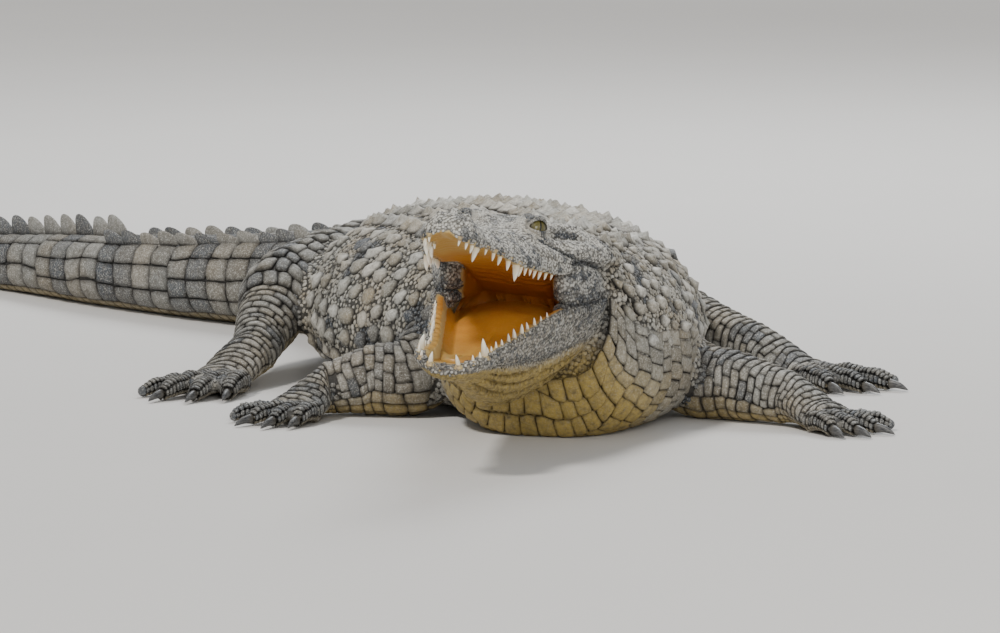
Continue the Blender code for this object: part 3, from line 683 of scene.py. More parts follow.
def ahead_of_joint(points):
    return (points - JOINT) @ FORWARD


def joint_gap(points):
    return np.linalg.norm(points - JOINT, axis=1)


def eye_gap(points):
    """Distance from the nearer eye."""
    return np.min([np.linalg.norm(points - eye_centre(side), axis=1) for side in SIDES], axis=0)


def fade(value, start, end):
    """0 up to start, 1 past end, and smooth between them."""
    t = np.clip((value - start) / (end - start), 0, 1)
    return t * t * (3 - 2 * t)


def until(value, start, end):
    """1 up to start, 0 past end, and smooth between them."""
    return fade(-value, -end, -start)


def within(value, start, full, fall, end):
    """1 from full to fall, and 0 before start and past end."""
    return fade(value, start, full) * until(value, fall, end)


def lattice(cells, seed):
    """A number from 0 to 1 for each whole-numbered cell."""
    x, y, z = (cells + 4096).astype(np.uint64).T * np.array([[73856093], [19349663], [83492791]], np.uint64)
    mixed = x ^ y ^ z ^ np.uint64(seed * 2654435)
    mixed = (mixed ^ (mixed >> np.uint64(13))) * np.uint64(1274126177)
    mixed = mixed ^ (mixed >> np.uint64(16))
    return (mixed % np.uint64(65536)).astype(float) / 65535


def cloud(points, size, seed=0, octaves=2):
    """Smooth noise from 0 to 1 whose blotches are about as wide as the size."""
    total, weight = 0.0, 0.0
    for octave in range(octaves):
        place = points / size * 2 ** octave
        cell = np.floor(place)
        t = place - cell
        t = t * t * (3 - 2 * t)
        value = 0.0
        for corner in np.ndindex(2, 2, 2):
            share = np.prod(np.where(corner, t, 1 - t), axis=1)
            value = value + share * lattice(cell + corner, seed + octave)
        total = total + value * 0.5 ** octave
        weight += 0.5 ** octave
    return total / weight


def body_shell(body_inset, limb_inset):
    shells = [BODY.loft(0.006, 2.838, body_inset, 420, 120, taper=0.03)]
    for tube in TUBES.values():
        shells.append(tube.loft(0.0, tube.length, limb_inset, 110, 40, taper=0.02))
        for toe in tube.toes:
            shells.append(toe.loft(0.0, toe.length - 0.002, limb_inset * 0.6, 40, 20, taper=0.006))
    return join_shells("body_shell", shells)


def polyline_ridge(x, y, places, reach):
    """1 on a line through (x, y) places and fading to 0 within the reach on both sides."""
    nearest = np.full(len(x), 9.0)
    for (x0, y0), (x1, y1) in zip(places, places[1:]):
        dx, dy = x1 - x0, y1 - y0
        t = np.clip(((x - x0) * dx + (y - y0) * dy) / (dx * dx + dy * dy), 0, 1)
        nearest = np.minimum(nearest, np.hypot(x - x0 - t * dx, y - y0 - t * dy))
    return np.exp(-(nearest / reach) ** 2)


def is_upper(points):
    """True for points nearer the upper jaw than the lower one."""
    return to_local(points, MIDDLE_AXES)[:, 2] > 0.006


def nostrils(points):
    """1 in the two slits on the mound of the snout."""
    x, y, _ = to_local(points, SKULL_AXES).T
    return is_upper(points) * bell_side(x, y, 0.4115, 0.0115, 0.0075, 0.0036)


def creases(points):
    """1 in the deep creases round the eye, the ear and the cheek, and 0 away from them."""
    x, y, z = to_local(points, SKULL_AXES).T
    mx, my, mz = to_local(points, MIDDLE_AXES).T
    flank = is_upper(points) & (np.abs(y) > SKULL(x)[0] * 0.66)
    cheek = (np.abs(my) > 0.07) & (mx < 0.128)
    found = flank * np.maximum(
        polyline_ridge(x, z, ((0.086, 0.066), (0.112, 0.064), (0.14, 0.057)), 0.0042),
        0.8 * polyline_ridge(x, z, ((0.104, 0.03), (0.123, 0.033), (0.157, 0.038), (0.18, 0.044)), 0.003))
    found = np.maximum(found, cheek * polyline_ridge(
        mx, mz, ((0.12, 0.048), (0.085, 0.05), (0.044, 0.042), (0.0, 0.034), (-0.032, 0.026), (-0.054, 0.002),
                 (-0.062, -0.03), (-0.06, -0.06)), 0.0042))
    return np.maximum(found, 0.8 * cheek * polyline_ridge(
        mx, mz, ((0.124, -0.008), (0.1, -0.009), (0.078, -0.008), (0.04, -0.006), (0.007, 0.0)), 0.003))


def shape_head(points, normals):
    """Adds to the head its ridges, folds, sockets of teeth and slits. Points move along their normals."""
    ahead = ahead_of_joint(points)
    on_head = fade(ahead, -0.02, 0.03)
    upper = is_upper(points)
    x, y, z = to_local(points, SKULL_AXES).T
    jx, jy, jz = to_local(points, JAW_AXES).T
    width, lip, palate, top, _ = SKULL(x)
    jaw_width, jaw_lip, bottom, _ = JAW(jx)
    skull_up, jaw_up = (normals @ SKULL_AXES)[:, 2], (normals @ JAW_AXES)[:, 2]
    move = np.zeros(len(points))
    side = np.abs(y)

    # The upper jaw: a ridge from each eye to the nostrils, a hollow between, and a raised rim of the skull table
    facing_up = upper & (skull_up > 0.05)
    ridge = polyline_ridge(x, side, ((0.205, 0.05), (0.25, 0.04), (0.31, 0.03), (0.375, 0.019)), 0.006)
    hollow = bell(side, 0, 0.018) * within(x, 0.17, 0.21, 0.34, 0.375)
    table = polyline_ridge(x, side, ((0.0, 0.076), (0.07, 0.074), (0.128, 0.06)), 0.006)
    window = bell_side(x, y, 0.062, 0.036, 0.022, 0.018)
    move += facing_up * (0.003 * ridge - 0.0026 * hollow + 0.0036 * table - 0.003 * window)
    flank = upper & (side > width * 0.72)
    move += flank * 0.0035 * polyline_ridge(x, z, ((0.04, 0.056), (0.09, 0.053), (0.13, 0.047)), 0.006)
    move += flank * 0.003 * polyline_ridge(x, z, ((0.11, 0.02), (0.16, 0.026), (0.2, 0.03)), 0.006)
    move -= facing_up * 0.008 * nostrils(points)
    move += facing_up * 0.0035 * bell_side(x, y, 0.411, 0.0185, 0.011, 0.0045)

    # Bulges over the roots of the teeth
    for place, length in UPPER_TEETH:
        bulge = bell(x, place, 0.0042 + 0.14 * length) * bell(z - lip, 0.006, 0.01)
        move += (upper & (skull_up > -0.75) & (side > width * 0.6)) * (0.0009 + 0.1 * length) * bulge
    for place, length in LOWER_TEETH:
        bulge = bell(jx, place, 0.0042 + 0.14 * length) * bell(jz - jaw_lip, -0.006, 0.009)
        move += (~upper & (np.abs(jy) > jaw_width * 0.55)) * (0.0009 + 0.1 * length) * bulge

    # The roof of the mouth, and the skin of the throat that hangs in folds between the jaw bones
    roof = upper & (skull_up < -0.3) & (side < width - 0.012)
    move += roof * (0.0014 * bell(y, 0, 0.005) + 0.0009 * np.sin(x * 400 + 2 * np.sin(y * 45)))
    floor = ~upper & (jaw_up > 0.5) & (np.abs(jy) < jaw_width - 0.017) & (jz > jaw_lip - 0.035)
    move -= floor * 0.94 * floor_drop(jx, jy)
    below = ~upper & (jaw_up < 0.25)
    depth = (jaw_lip - jz) / np.maximum(jaw_lip - bottom, 0.02)
    pouch = below * fade(depth, 0.45, 0.62) * within(jx, 0.03, 0.09, 0.29, 0.34)
    move += pouch * 0.0085 * (0.35 - throat_fold(points))
    groove = bell(depth, 0.47, 0.035) * within(jx, 0.02, 0.06, 0.32, 0.37)
    move -= below * 0.0034 * groove

    # The cheek: its muscle bulges between two creases
    mx, my, mz = to_local(points, MIDDLE_AXES).T
    cheek = (np.abs(my) > 0.07) * within(mx, -0.03, 0.01, 0.12, 0.134)
    muscle = bell(mx, 0.075, 0.05) * bell(mz, 0.02, 0.022)
    rim = polyline_ridge(mx, mz, ((0.124, 0.062), (0.08, 0.064), (0.03, 0.054), (-0.01, 0.044)), 0.0062)
    under = polyline_ridge(mx, mz, ((0.118, -0.02), (0.07, -0.021), (0.01, -0.014)), 0.007)
    move += cheek * (0.0085 * muscle + 0.0055 * rim + 0.0045 * under)
    wrinkle = np.sin(mx * 260 + 18 * mz + 3 * cloud(points, 0.03, 14))
    move += cheek * 0.0009 * wrinkle * bell(mz, 0.035, 0.035)

    # Uneven bone under all of it
    rough = cloud(points, 0.026, 3, 3) - 0.5
    open_skin = ~roof & ~(~upper & (jz > jaw_lip - 0.03) & (np.abs(jy) < jaw_width - 0.016) & (jz < jaw_lip))
    move += 0.0034 * rough * open_skin
    move = move * on_head - 0.0095 * creases(points) * (ahead > -0.09)
    return points + normals * move[:, None]


def sink_eyes(points):
    """Draws the skin back round each eye, so that the lids can cover the gap."""
    for side, look in EYE_LOOK.items():
        centre = eye_centre(side)
        offset = points - centre
        along = offset @ look
        across = np.linalg.norm(offset - along[:, None] * look, axis=1)
        pull = until(across, 0.0165, 0.023) * (along > -0.012)
        points = points - look * (pull * np.maximum(along + 0.012, 0))[:, None]
    return points


def build_skin(sizes):
    body = body_shell(sizes.trunk_coat, sizes.limb_coat)
    remesh(body, sizes.body_voxel)
    write_points(body, smoothed(read_points(body), edges_of(body), 0.5, 3))
    coat = sizes.head_coat
    head = join_shells("head_shell", [skull_loft(coat), jaw_loft(coat), *(cheek_loft(side, coat) for side in SIDES)])
    remesh(head, sizes.head_voxel)
    modifier = head.modifiers.new("union", "BOOLEAN")
    modifier.object = body
    modifier.operation = "UNION"
    modifier.solver = "MANIFOLD"
    keep_result(head)
    remove(body)
    with editing(head) as mesh:
        bmesh.ops.triangulate(mesh, faces=[face for face in mesh.faces if len(face.verts) > 4])
    head.name = head.data.name = "skin"
    points, edges = read_points(head), edges_of(head)
    ahead = ahead_of_joint(points)
    joint = bell(ahead, -0.005, 0.03) * (joint_gap(points) < 0.3)
    points = smoothed(points, edges, 0.5 * joint, 14)
    points = smoothed(points, edges, 0.4 * fade(ahead, -0.05, 0.0), 2)
    write_points(head, points)
    points = shape_head(points, read_normals(head))
    write_points(head, above(points, SKIN_FLOOR))
    tree = tree_of(head)
    lids = [build_lids(side, label, tree) for side, label in SIDES.items()]
    write_points(head, sink_eyes(points))
    return join_pieces("skin", [head, *lids])


# ---- Teeth, tongue, eyes, lids and claws ----


def cone_rings(base, axis, bend, length, radius, flat, rings, sides):
    """Rings of a curved cone. bend is the way that its tip leans, and flat narrows it across."""
    axis = unit(np.array(axis))
    bend = np.array(bend) - axis * np.dot(bend, axis)
    across = np.cross(axis, unit(bend))
    a = circle(sides)[None, :, None]
    t = np.linspace(0, 1, rings)[:, None, None]
    size = radius * (1 - t ** 1.7) ** 0.75 * (1 + 0.05 * np.cos(t * 9)) + 0.0003
    return (np.array(base) + axis * length * t + bend * length * t * t
            + size * (unit(bend) * np.cos(a) + across * flat * np.sin(a)))


def cone_along(rings, sides):
    """How far each point of a closed cone is towards its tip."""
    return np.concatenate((np.repeat(np.linspace(0, 1, rings), sides), (0, 1)))


def build_teeth(table, teeth, axes, down, name):
    """The teeth of one jaw, each in a soft collar. down is -1 for the upper jaw and 1 for the lower."""
    tooth_shells, gum_shells = [], []
    chance = np.random.default_rng(5 if down < 0 else 6)
    for place, length in teeth:
        width, lip = table(place)[:2]
        radius = length * 0.23 + 0.0006
        for side in SIDES:
            size = length * chance.uniform(0.86, 1.1)
            lean = np.array((chance.normal(0, 0.06) + (0.1 if place > 0.37 else 0.0),
                             side * (0.1 + chance.normal(0, 0.05)), down))
            root = np.array((place, side * (width - 0.35 * radius - 0.0048), lip - down * 0.007))
            bend = np.array((-0.1, -side * 0.16, 0.0))
            rings = cone_rings(root, lean, bend, size + 0.007, radius, 0.86, 12, 14)
            tooth_shells.append(grid_shell(to_world(rings, axes)))
            t = np.linspace(0, 1, 6)[:, None, None]
            a = circle(16)[None, :, None]
            lean = unit(lean)
            reach = radius * 1.05 + 0.003 * (1 - t) ** 1.3 + 0.0004 * np.sin(a * 5 + place * 900)
            collar = (root + lean * (0.0028 + 0.0052 * t)
                      + reach * (np.array((1, 0, 0)) * np.cos(a) + np.array((0, 1, 0)) * np.sin(a)))
            gum_shells.append(grid_shell(to_world(collar, axes)))
    made = join_shells(name, tooth_shells)
    add_values(made, "along", np.tile(cone_along(12, 14), len(teeth) * 2))
    return made, join_shells(name.replace("teeth", "gums"), gum_shells)


def build_tongue():
    """The tongue lies on the floor of the mouth, and its root rises as the fold that shuts the throat."""
    count, sides = 150, 90
    x = np.linspace(0.005, 0.38, count)[:, None]
    inner, ground = jaw_floor(x)
    narrow = np.where(x < 0.3, 1.0, np.sqrt(np.maximum(1 - ((x - 0.3) / 0.082) ** 2, 0.0)))
    half = np.maximum(0.93 * inner * narrow, 0.002)
    t = np.linspace(-1, 1, sides)[None, :]
    throat = until(x, 0.09, 0.17)
    rise = 0.007 + 0.02 * throat + 0.004 * bell(x, 0.3, 0.05)
    rise = rise * (0.35 + 0.65 * narrow)
    dome = (1 - np.abs(t) ** (2.6 - 0.6 * throat)) ** (0.62 + 0.38 * throat)
    ground = ground - floor_drop(x, half * t)
    z = ground + 0.001 + rise * dome
    z = z - 0.0022 * bell(t * half, 0, 0.0035) * within(x, 0.13, 0.2, 0.34, 0.37)
    flat = to_world(np.stack((np.broadcast_to(x, z.shape), half * t, z), -1), JAW_AXES)
    z = z + 0.0012 * (cloud(flat.reshape(-1, 3), 0.024, 9, 3).reshape(z.shape) - 0.5)
    low = t[:, ::-1]
    points = np.stack((np.broadcast_to(x, (count, sides * 2)),
                       np.hstack((half * t, half * low)),
                       np.hstack((z, ground[:, ::-1] - 0.004))), -1)
    obj = join_shells("tongue_soft", [grid_shell(to_world(points, JAW_AXES))])
    add_values(obj, "depth", throat_depth(read_points(obj)))
    return obj


def eye_axes(side):
    """Where an eye looks, the way up across that, and the way along the slit between its lids."""
    look = EYE_LOOK[side]
    up = unit(SKULL_AXES[:, 2] - look * np.dot(SKULL_AXES[:, 2], look))
    return look, up, np.cross(up, look)


def build_eye(side, label):
    """An eyeball whose pole looks out, with how far round each point is from it."""
    look, up, across = eye_axes(side)
    turn, tilt = np.meshgrid(circle(64), np.linspace(0.02, pi - 0.02, 48))
    ray = (look * np.cos(tilt)[..., None] + across * (np.sin(tilt) * np.cos(turn))[..., None]
           + up * (np.sin(tilt) * np.sin(turn))[..., None])
    bulge = 1 + 0.06 * np.exp(-(tilt / 0.5) ** 2)
    obj = join_shells("eyeball_" + label, [grid_shell(eye_centre(side) + ray * (EYE_RADIUS * 0.97 * bulge)[..., None])])
    points = (read_points(obj) - eye_centre(side)) / EYE_RADIUS
    level, height = points @ across, points @ up
    add_values(obj, "round", np.hypot(level, height))
    slit = np.abs(level) / (0.085 * np.maximum(1 - (height / 0.62) ** 2, 0.001))
    add_values(obj, "slit", np.where(points @ look > 0, np.clip(slit, 0, 4), 4))
    return obj


def lid_edge(angle):
    """Half size of the opening between the lids at an angle round it, as (along, up)."""
    along = 0.0148 * np.cos(angle)
    rise = np.where(np.sin(angle) > 0, 0.0088, 0.007) * np.abs(np.sin(angle)) ** 1.2 * np.sign(np.sin(angle))
    return along, rise + 0.0012 * np.cos(angle)


def build_lids(side, label, skin_tree):
    """Lids over an eye: a patch of skin that hugs the eyeball, folds in at the opening and melts into the head."""
    look, up, across = eye_axes(side)
    across = across * side
    centre = eye_centre(side)
    rings, count, reach = 34, 120, 0.028
    angle = circle(count)
    edge_x, edge_y = lid_edge(angle)
    points = np.zeros((rings + 4, count, 3))
    for j in range(count):
        for i in range(rings):
            t = (i / (rings - 1)) ** 1.15
            p = edge_x[j] * (1 - t) + cos(angle[j]) * reach * t
            q = edge_y[j] * (1 - t) + sin(angle[j]) * reach * t
            start = centre + across * p + up * q + look * 0.05
            hit = skin_tree.ray_cast(Vector(start), Vector(-look), 0.075)[0]
            ground = 0.05 - (Vector(start) - hit).length if hit else -0.02
            ball = max((EYE_RADIUS + 0.0014) ** 2 - p * p - q * q, 0.0) ** 0.5
            gap = np.hypot(p - edge_x[j], q - edge_y[j])
            ball += 0.0012 * bell(gap, 0.0016, 0.0016) + 0.0008 * bell(gap, 0.006, 0.0012)
            if q > 0:
                ball += 0.005 * bell(q, 0.0136, 0.0044) * bell(p, 0.002, 0.016)
            else:
                ball += 0.0012 * bell(q, -0.0115, 0.003) * bell(p, 0.0, 0.014)
            away = fade(np.hypot(p, q), 0.016, 0.0248)
            high = max(ball * (1 - away) + (ground - 0.001) * away, min(ground, 0.02) if gap > 0.004 else -1.0)
            place = centre + across * p + up * q + look * high
            if t > 0.72:
                near, normal, _, _ = skin_tree.find_nearest(Vector(place))
                share = fade(t, 0.72, 1.0)
                place = place * (1 - share) + np.array(near - normal * 0.001) * share
            points[i + 4, j] = place
        rim = points[4, j]
        for k, (drop, inward) in enumerate(((0.005, 0.0012), (0.0028, 0.0002), (0.0012, -0.0004), (0.0003, -0.0003))):
            inside = across * (edge_x[j] * -inward / 0.013) + up * (edge_y[j] * -inward / 0.006)
            points[k, j] = rim - look * drop - inside
    obj = make_mesh("lids_" + label, points.reshape(-1, 3), grid_quads(rings + 4, count))
    with editing(obj) as mesh:
        bmesh.ops.recalc_face_normals(mesh, faces=mesh.faces)
        if sum(face.normal.dot(Vector(look)) for face in mesh.faces) < 0:
            bmesh.ops.reverse_faces(mesh, faces=mesh.faces)
    return obj


def build_claws():
    """Three claws on each foot, curved and a little grooved."""
    shells = []
    for tube in TUBES.values():
        for toe in tube.toes[:3]:
            heading = toe.direction + np.array((0, 0, 0.1))
            rings = cone_rings(toe.centre(toe.length - 0.006), heading, (0, 0, -0.34), 0.031, 0.0066, 0.8, 16, 18)
            shells.append(grid_shell(above(rings, CLAW_FLOOR)))
    obj = join_shells("claws", shells)
    add_values(obj, "along", np.tile(cone_along(16, 18), len(shells)))
    return obj


# ---- Markings with painted shade among them, the same for the skin and the coat, and places on the skin's unwrap ----


def body_place(points):
    """Distance along the spine and place round the body of any points."""
    flat = BODY.points2[::3] + SHIFT[:2]
    s = np.empty(len(points))
    for start in range(0, len(points), 20000):
        part = points[start:start + 20000, None, :2] - flat[None]
        s[start:start + 20000] = BODY.s[::3][np.argmin((part ** 2).sum(2), axis=1)]
    across = ((points[:, :2] - BODY.centre(s)[:, :2]) * read_rows(s, BODY.s, BODY.left2)).sum(1)
    width, widest, top, bottom = [np.interp(s, BODY.s, column) for column in BODY.sizes[:4]]
    up = points[:, 2] - widest
    up = up / np.where(up > 0, np.maximum(top - widest, 0.005), np.maximum(widest - bottom, 0.005))
    return s, np.arctan2(across / np.maximum(width, 0.005), up) / pi


def body_marks(points, s, v):
    """How dark the slate blotches are and how yellow the belly is, at places on the body."""
    side = np.abs(v)
    flank = fade(side, 0.1, 0.3)
    blotch = cloud(points, 0.05, 21, 2)
    trunk = fade(blotch, 0.6, 0.66) * flank
    band = 0.5 + 0.5 * np.sin(2 * pi * s / (4 * WHORL_LENGTH) + 2.2 * cloud(points, 0.12, 5, 1))
    tail = fade(band * 0.75 + blotch * 0.4, 0.55, 0.72)
    share = fade(s, 1.0, 1.25)
    dark = trunk * (1 - share) + (0.42 + 0.54 * tail) * share
    pale = fade(side, 0.7, 0.82)
    chest = until(s, 0.1, 0.2)
    pale = np.maximum(pale, chest * fade(side, 0.53, 0.74))
    dark = np.maximum(dark, 0.3 * until(s, 0.22, 0.42) * fade(side, 0.42, 0.56) * (1 - share))
    return dark * (1 - 0.8 * pale), pale * (1 - 0.5 * share)


def limb_marks(points, v):
    blotch = cloud(points, 0.036, 33, 2)
    pale = fade(np.abs(v), 0.55, 0.8) * 0.75
    return (0.38 + 0.52 * fade(blotch, 0.5, 0.6)) * (1 - 0.7 * pale), pale


def head_marks(points):
    speck = cloud(points, 0.012, 41, 3)
    upper = is_upper(points)
    jx, jy, jz = to_local(points, JAW_AXES).T
    _, jaw_lip, bottom, _ = JAW(jx)
    depth = (jaw_lip - jz) / np.maximum(jaw_lip - bottom, 0.02)
    pale = ~upper * fade(depth, 0.44, 0.6) * fade(jx, -0.02, 0.05)
    mx, my, mz = to_local(points, MIDDLE_AXES).T
    x, _, z = to_local(points, SKULL_AXES).T
    _, lip, _, top, _ = SKULL(x)
    near_lip = fade(-(z - lip) / np.maximum(top - lip, 0.02), -0.62, -0.2) * fade(x, 0.1, 0.16)
    muscle = bell(mx, 0.06, 0.06) * bell(mz, 0.01, 0.035) * fade(np.abs(my), 0.06, 0.07)
    dark = (0.55 + 0.15 * upper) * fade(speck, 0.56, 0.67) + 0.24 * (~upper) + 0.58 * muscle + 0.22 * upper * near_lip
    # Darker over the upper lid and under the brow of each eye: partly the lids' dark rim, partly painted shade under
    # the brow.
    lids = np.max([bell(np.linalg.norm(points - eye_centre(side) - EYE_LOOK[side] * 0.012
                                       - SKULL_AXES[:, 2] * 0.006, axis=1), 0.0, 0.013) for side in SIDES], axis=0)
    # Painted shade in the groove under the jaw and in the grooves of the throat's folds.
    throat_line = ~upper * np.maximum(bell(depth, 0.46, 0.035) * 0.8, 0.6 * throat_fold(points)) * fade(jx, 0.02, 0.06)
    dark = np.maximum(np.clip(dark + 0.9 * lids, 0, 1) * (1 - pale), throat_line)
    # Dark in the creases round the eye, ear and cheek and in the nostril slits: painted shade in these hollows, with
    # some dirt in the creases.
    return np.maximum(dark, np.clip(np.maximum(creases(points), nostrils(points)) * 1.6, 0, 1)), pale


def mouth_share(points, normals):
    """1 inside the mouth and less on its rim."""
    upper = is_upper(points)
    x, y, z = to_local(points, SKULL_AXES).T
    width, lip, palate, _, _ = SKULL(x)
    down = -(normals @ SKULL_AXES)[:, 2]
    roof = upper * fade(down, 0.05, 0.4) * fade(width - np.abs(y), 0.002, 0.008)
    roof = roof * (z < np.maximum(lip, palate) + 0.008)
    jx, jy, jz = to_local(points, JAW_AXES).T
    jaw_width, jaw_lip, _, _ = JAW(jx)
    axes_normals = normals @ JAW_AXES
    inside = (jz < jaw_lip + 0.006) & (jz > jaw_lip - 0.045) & (np.abs(jy) < jaw_width - 0.002)
    level = fade(axes_normals[:, 2], 0.3, 0.75) * fade(jaw_width - np.abs(jy), 0.003, 0.01)
    bone = 0.52 * fade(-axes_normals[:, 1] * np.sign(jy), 0.3, 0.7)
    floor = ~upper * inside * np.maximum(level * until(jx, 0.372, 0.4), bone)
    mx, my, mz = to_local(points, MIDDLE_AXES).T
    behind = until(mx, 0.128, 0.15)
    gullet = until(np.abs(my), 0.062, 0.07) * (np.abs(mz - 0.01) < 0.055) * fade(mx, -0.05, -0.02)
    lining = np.clip(np.maximum(roof, floor), 0, 1) * fade(ahead_of_joint(points), -0.03, 0.0)
    lining = lining * (eye_gap(points) > 0.032)
    outer = np.interp(mx, (-0.05, 0.03, 0.075, 0.105, 0.124), (0.1, 0.1, 0.096, 0.088, 0.08))
    inward = -np.sign(my) * (normals @ MIDDLE_AXES)[:, 1]
    wall = fade(inward, 0.1, 0.45) * fade(outer - np.abs(my), -0.002, 0.004) * within(mx, -0.03, 0.0, 0.07, 0.094)
    wall = wall * (np.abs(mz - 0.01) < 0.06) * (~upper | (z < lip + 0.003))
    return lining * (1 - behind) + np.max((lining * (np.abs(my) < 0.066), gullet, wall), axis=0) * behind


def throat_fold(points):
    """1 in the grooves of the throat's folds and 0 on their crests."""
    jx, jy, jz = to_local(points, JAW_AXES).T
    _, jaw_lip, bottom, _ = JAW(jx)
    depth = (jaw_lip - jz) / np.maximum(jaw_lip - bottom, 0.02)
    return np.abs(np.sin(depth * 24 + 2.0 * np.sin(jx * 13 + 0.6) + jy * 7)) ** 9 * fade(depth, 0.42, 0.56)


def throat_depth(points):
    """0 at the front of the mouth and 1 in the throat."""
    return fade(-to_local(points, MIDDLE_AXES)[:, 0], -0.36, -0.06)


def atlas_body(s, v):
    return 0.02 + 0.96 * s / BODY_LENGTH, 0.02 + 0.38 * (np.asarray(v) + 1) / 2


def atlas_head(points):
    x, y, z = to_local(points, MIDDLE_AXES).T
    turn = np.arctan2(y, np.where(z > 0.006, z + 0.02, z - 0.02)) / pi
    return 0.03 + 0.94 * np.clip((x + 0.06) / 0.56, 0, 1), 0.7 + 0.28 * (turn + 1) / 2


# ---- Scales ----


def field(tube, rows, v_start, v_end, width, height, keel=0.0, square=4.0, jitter=0.1, stagger=False,
          gap=0.94, sides=(1, -1), tilt=0.0, skip=0.0, seed=1, columns=None):
    """Scales in rows round a tube: rows holds each row's place and half length along the tube."""
    chance = np.random.default_rng(seed)
    found = []
    for number, (s, reach) in enumerate(rows):
        girth = float(tube.girth(s))
        span = (v_end - v_start) * girth
        count = columns or max(1, int(round(span / width)))
        step = span / count
        for side in sides:
            places = [(k + 0.5, 1.0) for k in range(count)]
            if stagger and number % 2:
                places = [(k, 1.0) for k in range(1, count)]
                places += [] if v_start == 0 and side < 0 else [(0, 1.0) if v_start == 0 else (0.25, 0.5)]
                places += [] if v_end == 1 and side < 0 else [(count, 1.0) if v_end == 1 else (count - 0.25, 0.5)]
            for k, wide in places:
                if chance.random() < skip:
                    continue
                v = side * (v_start + k * step / girth)
                grow = 1 + jitter * chance.uniform(-0.5, 0.35, 2)
                found.append((
                    s + chance.uniform(-0.3, 0.3) * jitter * reach,
                    v + chance.uniform(-0.3, 0.3) * jitter * step / girth,
                    reach * gap * grow[0], step / 2 * gap * grow[1] * wide,
                    height * (1 + jitter * chance.uniform(-1.2, 1.2)), keel * (1 + jitter * chance.uniform(-1.5, 1.5)),
                    square, tilt, chance.uniform(-0.5, 0.5) * jitter, chance.random()))
    return np.array(found)


def even_rows(start, end, pitch, reach=0.5):
    count = max(1, int(round((end - start) / pitch)))
    step = (end - start) / count
    return [(start + (i + 0.5) * step, step * reach) for i in range(count)]


def dome_template(sides, radii):
    """Angles, radii and triangles of a closed scale: a centre, rings out to the rim, and a ring beneath it."""
    rings = len(radii) + 1
    angles = np.arange(sides) * 2 * pi / sides
    faces = [(0, 1 + j, 1 + (j + 1) % sides) for j in range(sides)]
    for i in range(rings - 1):
        for j in range(sides):
            a, b = 1 + i * sides + j, 1 + i * sides + (j + 1) % sides
            faces += [(a, a + sides, b), (b, a + sides, b + sides)]
    last = 1 + (rings - 1) * sides
    faces += [(last, last + j + 1, last + j) for j in range(1, sides - 1)]
    return angles, np.array(faces)


def build_scales(name, tube, cells, inset, marks, atlas, skin_tree, sides=12, radii=(0.42, 0.78, 0.94, 1.0),
                 root_depth=0.0016, swell=3.0, outside_by=0.003, rough=0.12, warp=(0.05, 0.0), crack_from=0.66,
                 tone=1.0):
    """One mesh of many scales on a tube. Those that another limb covers are left out, and the warp bends the rows."""
    root = tube.lifted(cells[:, 0], cells[:, 1], np.full(len(cells), outside_by), inset)
    keep = np.array([is_outside(skin_tree, point) for point in root])
    cells, root = cells[keep], root[keep]
    s, v, reach, wide = cells.T[:4, :, None]
    high, keel, square, tilt, turn = cells.T[4:9, :, None, None]
    angles, faces = dome_template(sides, radii)
    chance = np.random.default_rng(len(cells))
    ring = np.array((*radii, 0.97))[None, :, None]
    spread = (np.abs(np.cos(angles)) ** square + np.abs(np.sin(angles)) ** square) ** (-1 / square)
    spread = spread * (1 + 0.05 * chance.uniform(-1, 1, (len(cells), 1, sides)))
    a, b = ring * spread * np.cos(angles), ring * spread * np.sin(angles)
    a, b = a * np.cos(turn) - b * np.sin(turn), a * np.sin(turn) + b * np.cos(turn)
    rim = np.clip(ring, 0, 1)
    dome = (1 - rim ** swell) ** 0.5 * 0.86 + 0.14
    ridge = np.maximum(0, 1 - np.abs(b) / 0.42) * (0.45 + 0.55 * np.clip(0.5 + 0.6 * a, 0, 1)) * (1 - rim ** 5)
    up = high * dome * (1 + tilt * a) + keel * ridge
    up[:, -1:, :] = -root_depth
    centre_up = high + keel * 0.72
    a, b, up = [np.concatenate((np.broadcast_to(c, (len(cells), 1, 1)).reshape(len(cells), 1),
                                r.reshape(len(cells), -1)), 1) for c, r in ((0.0, a), (0.0, b), (centre_up, up))]
    girth = tube.girth(s)
    around = pi * (v + b * wide / girth)
    spot = np.stack((s + a * reach + len(name), girth / pi * np.sin(around), girth / pi * np.cos(around)), -1)
    uneven = (cloud(spot.reshape(-1, 3), 0.0085, 77, 2).reshape(a.shape) - 0.5) * np.minimum(reach, 0.03) * rough
    up = up + uneven * (np.abs(a) + np.abs(b) < 1.9) * (up > 0)
    bend = [(cloud(spot.reshape(-1, 3), warp[0], seed, 1).reshape(a.shape) - 0.5) * warp[1] for seed in (78, 79)]
    points = tube.lifted(s + a * reach + bend[0], v + (b * wide + bend[1]) / girth, up, inset)
    count = points.shape[1]
    all_faces = (faces[None] + (np.arange(len(cells)) * count)[:, None, None]).reshape(-1, 3)
    obj = make_mesh(name, points.reshape(-1, 3), all_faces)
    # Each scale darkens towards its rim and underside: the dark joint between scales, with painted shade in the gap.
    rim = np.concatenate(([0.0], np.repeat((*radii, 1.15), sides)))
    crack = np.clip((rim - crack_from) / (0.99 - crack_from), 0, 1) ** 1.6
    dark, pale = marks(root, s[:, 0], v[:, 0])
    dark = np.clip(dark + np.where(dark > 0.5, -0.25, 0.12) * chance.random(len(cells)), 0, 1)
    finish_coat(obj, crack=np.tile(crack, len(cells)), dark=np.repeat(dark, count), pale=np.repeat(pale, count),
                tint=np.repeat(cells[:, 9] ** 1.5 * tone, count))
    place = [middle + BAKE_PATCH * np.clip(part, -1, 1) for middle, part in zip(atlas(s, v), (a, b))]
    write_bake_map(obj, np.stack(place, -1).reshape(-1, 2))
    turn_out(obj)
    return obj


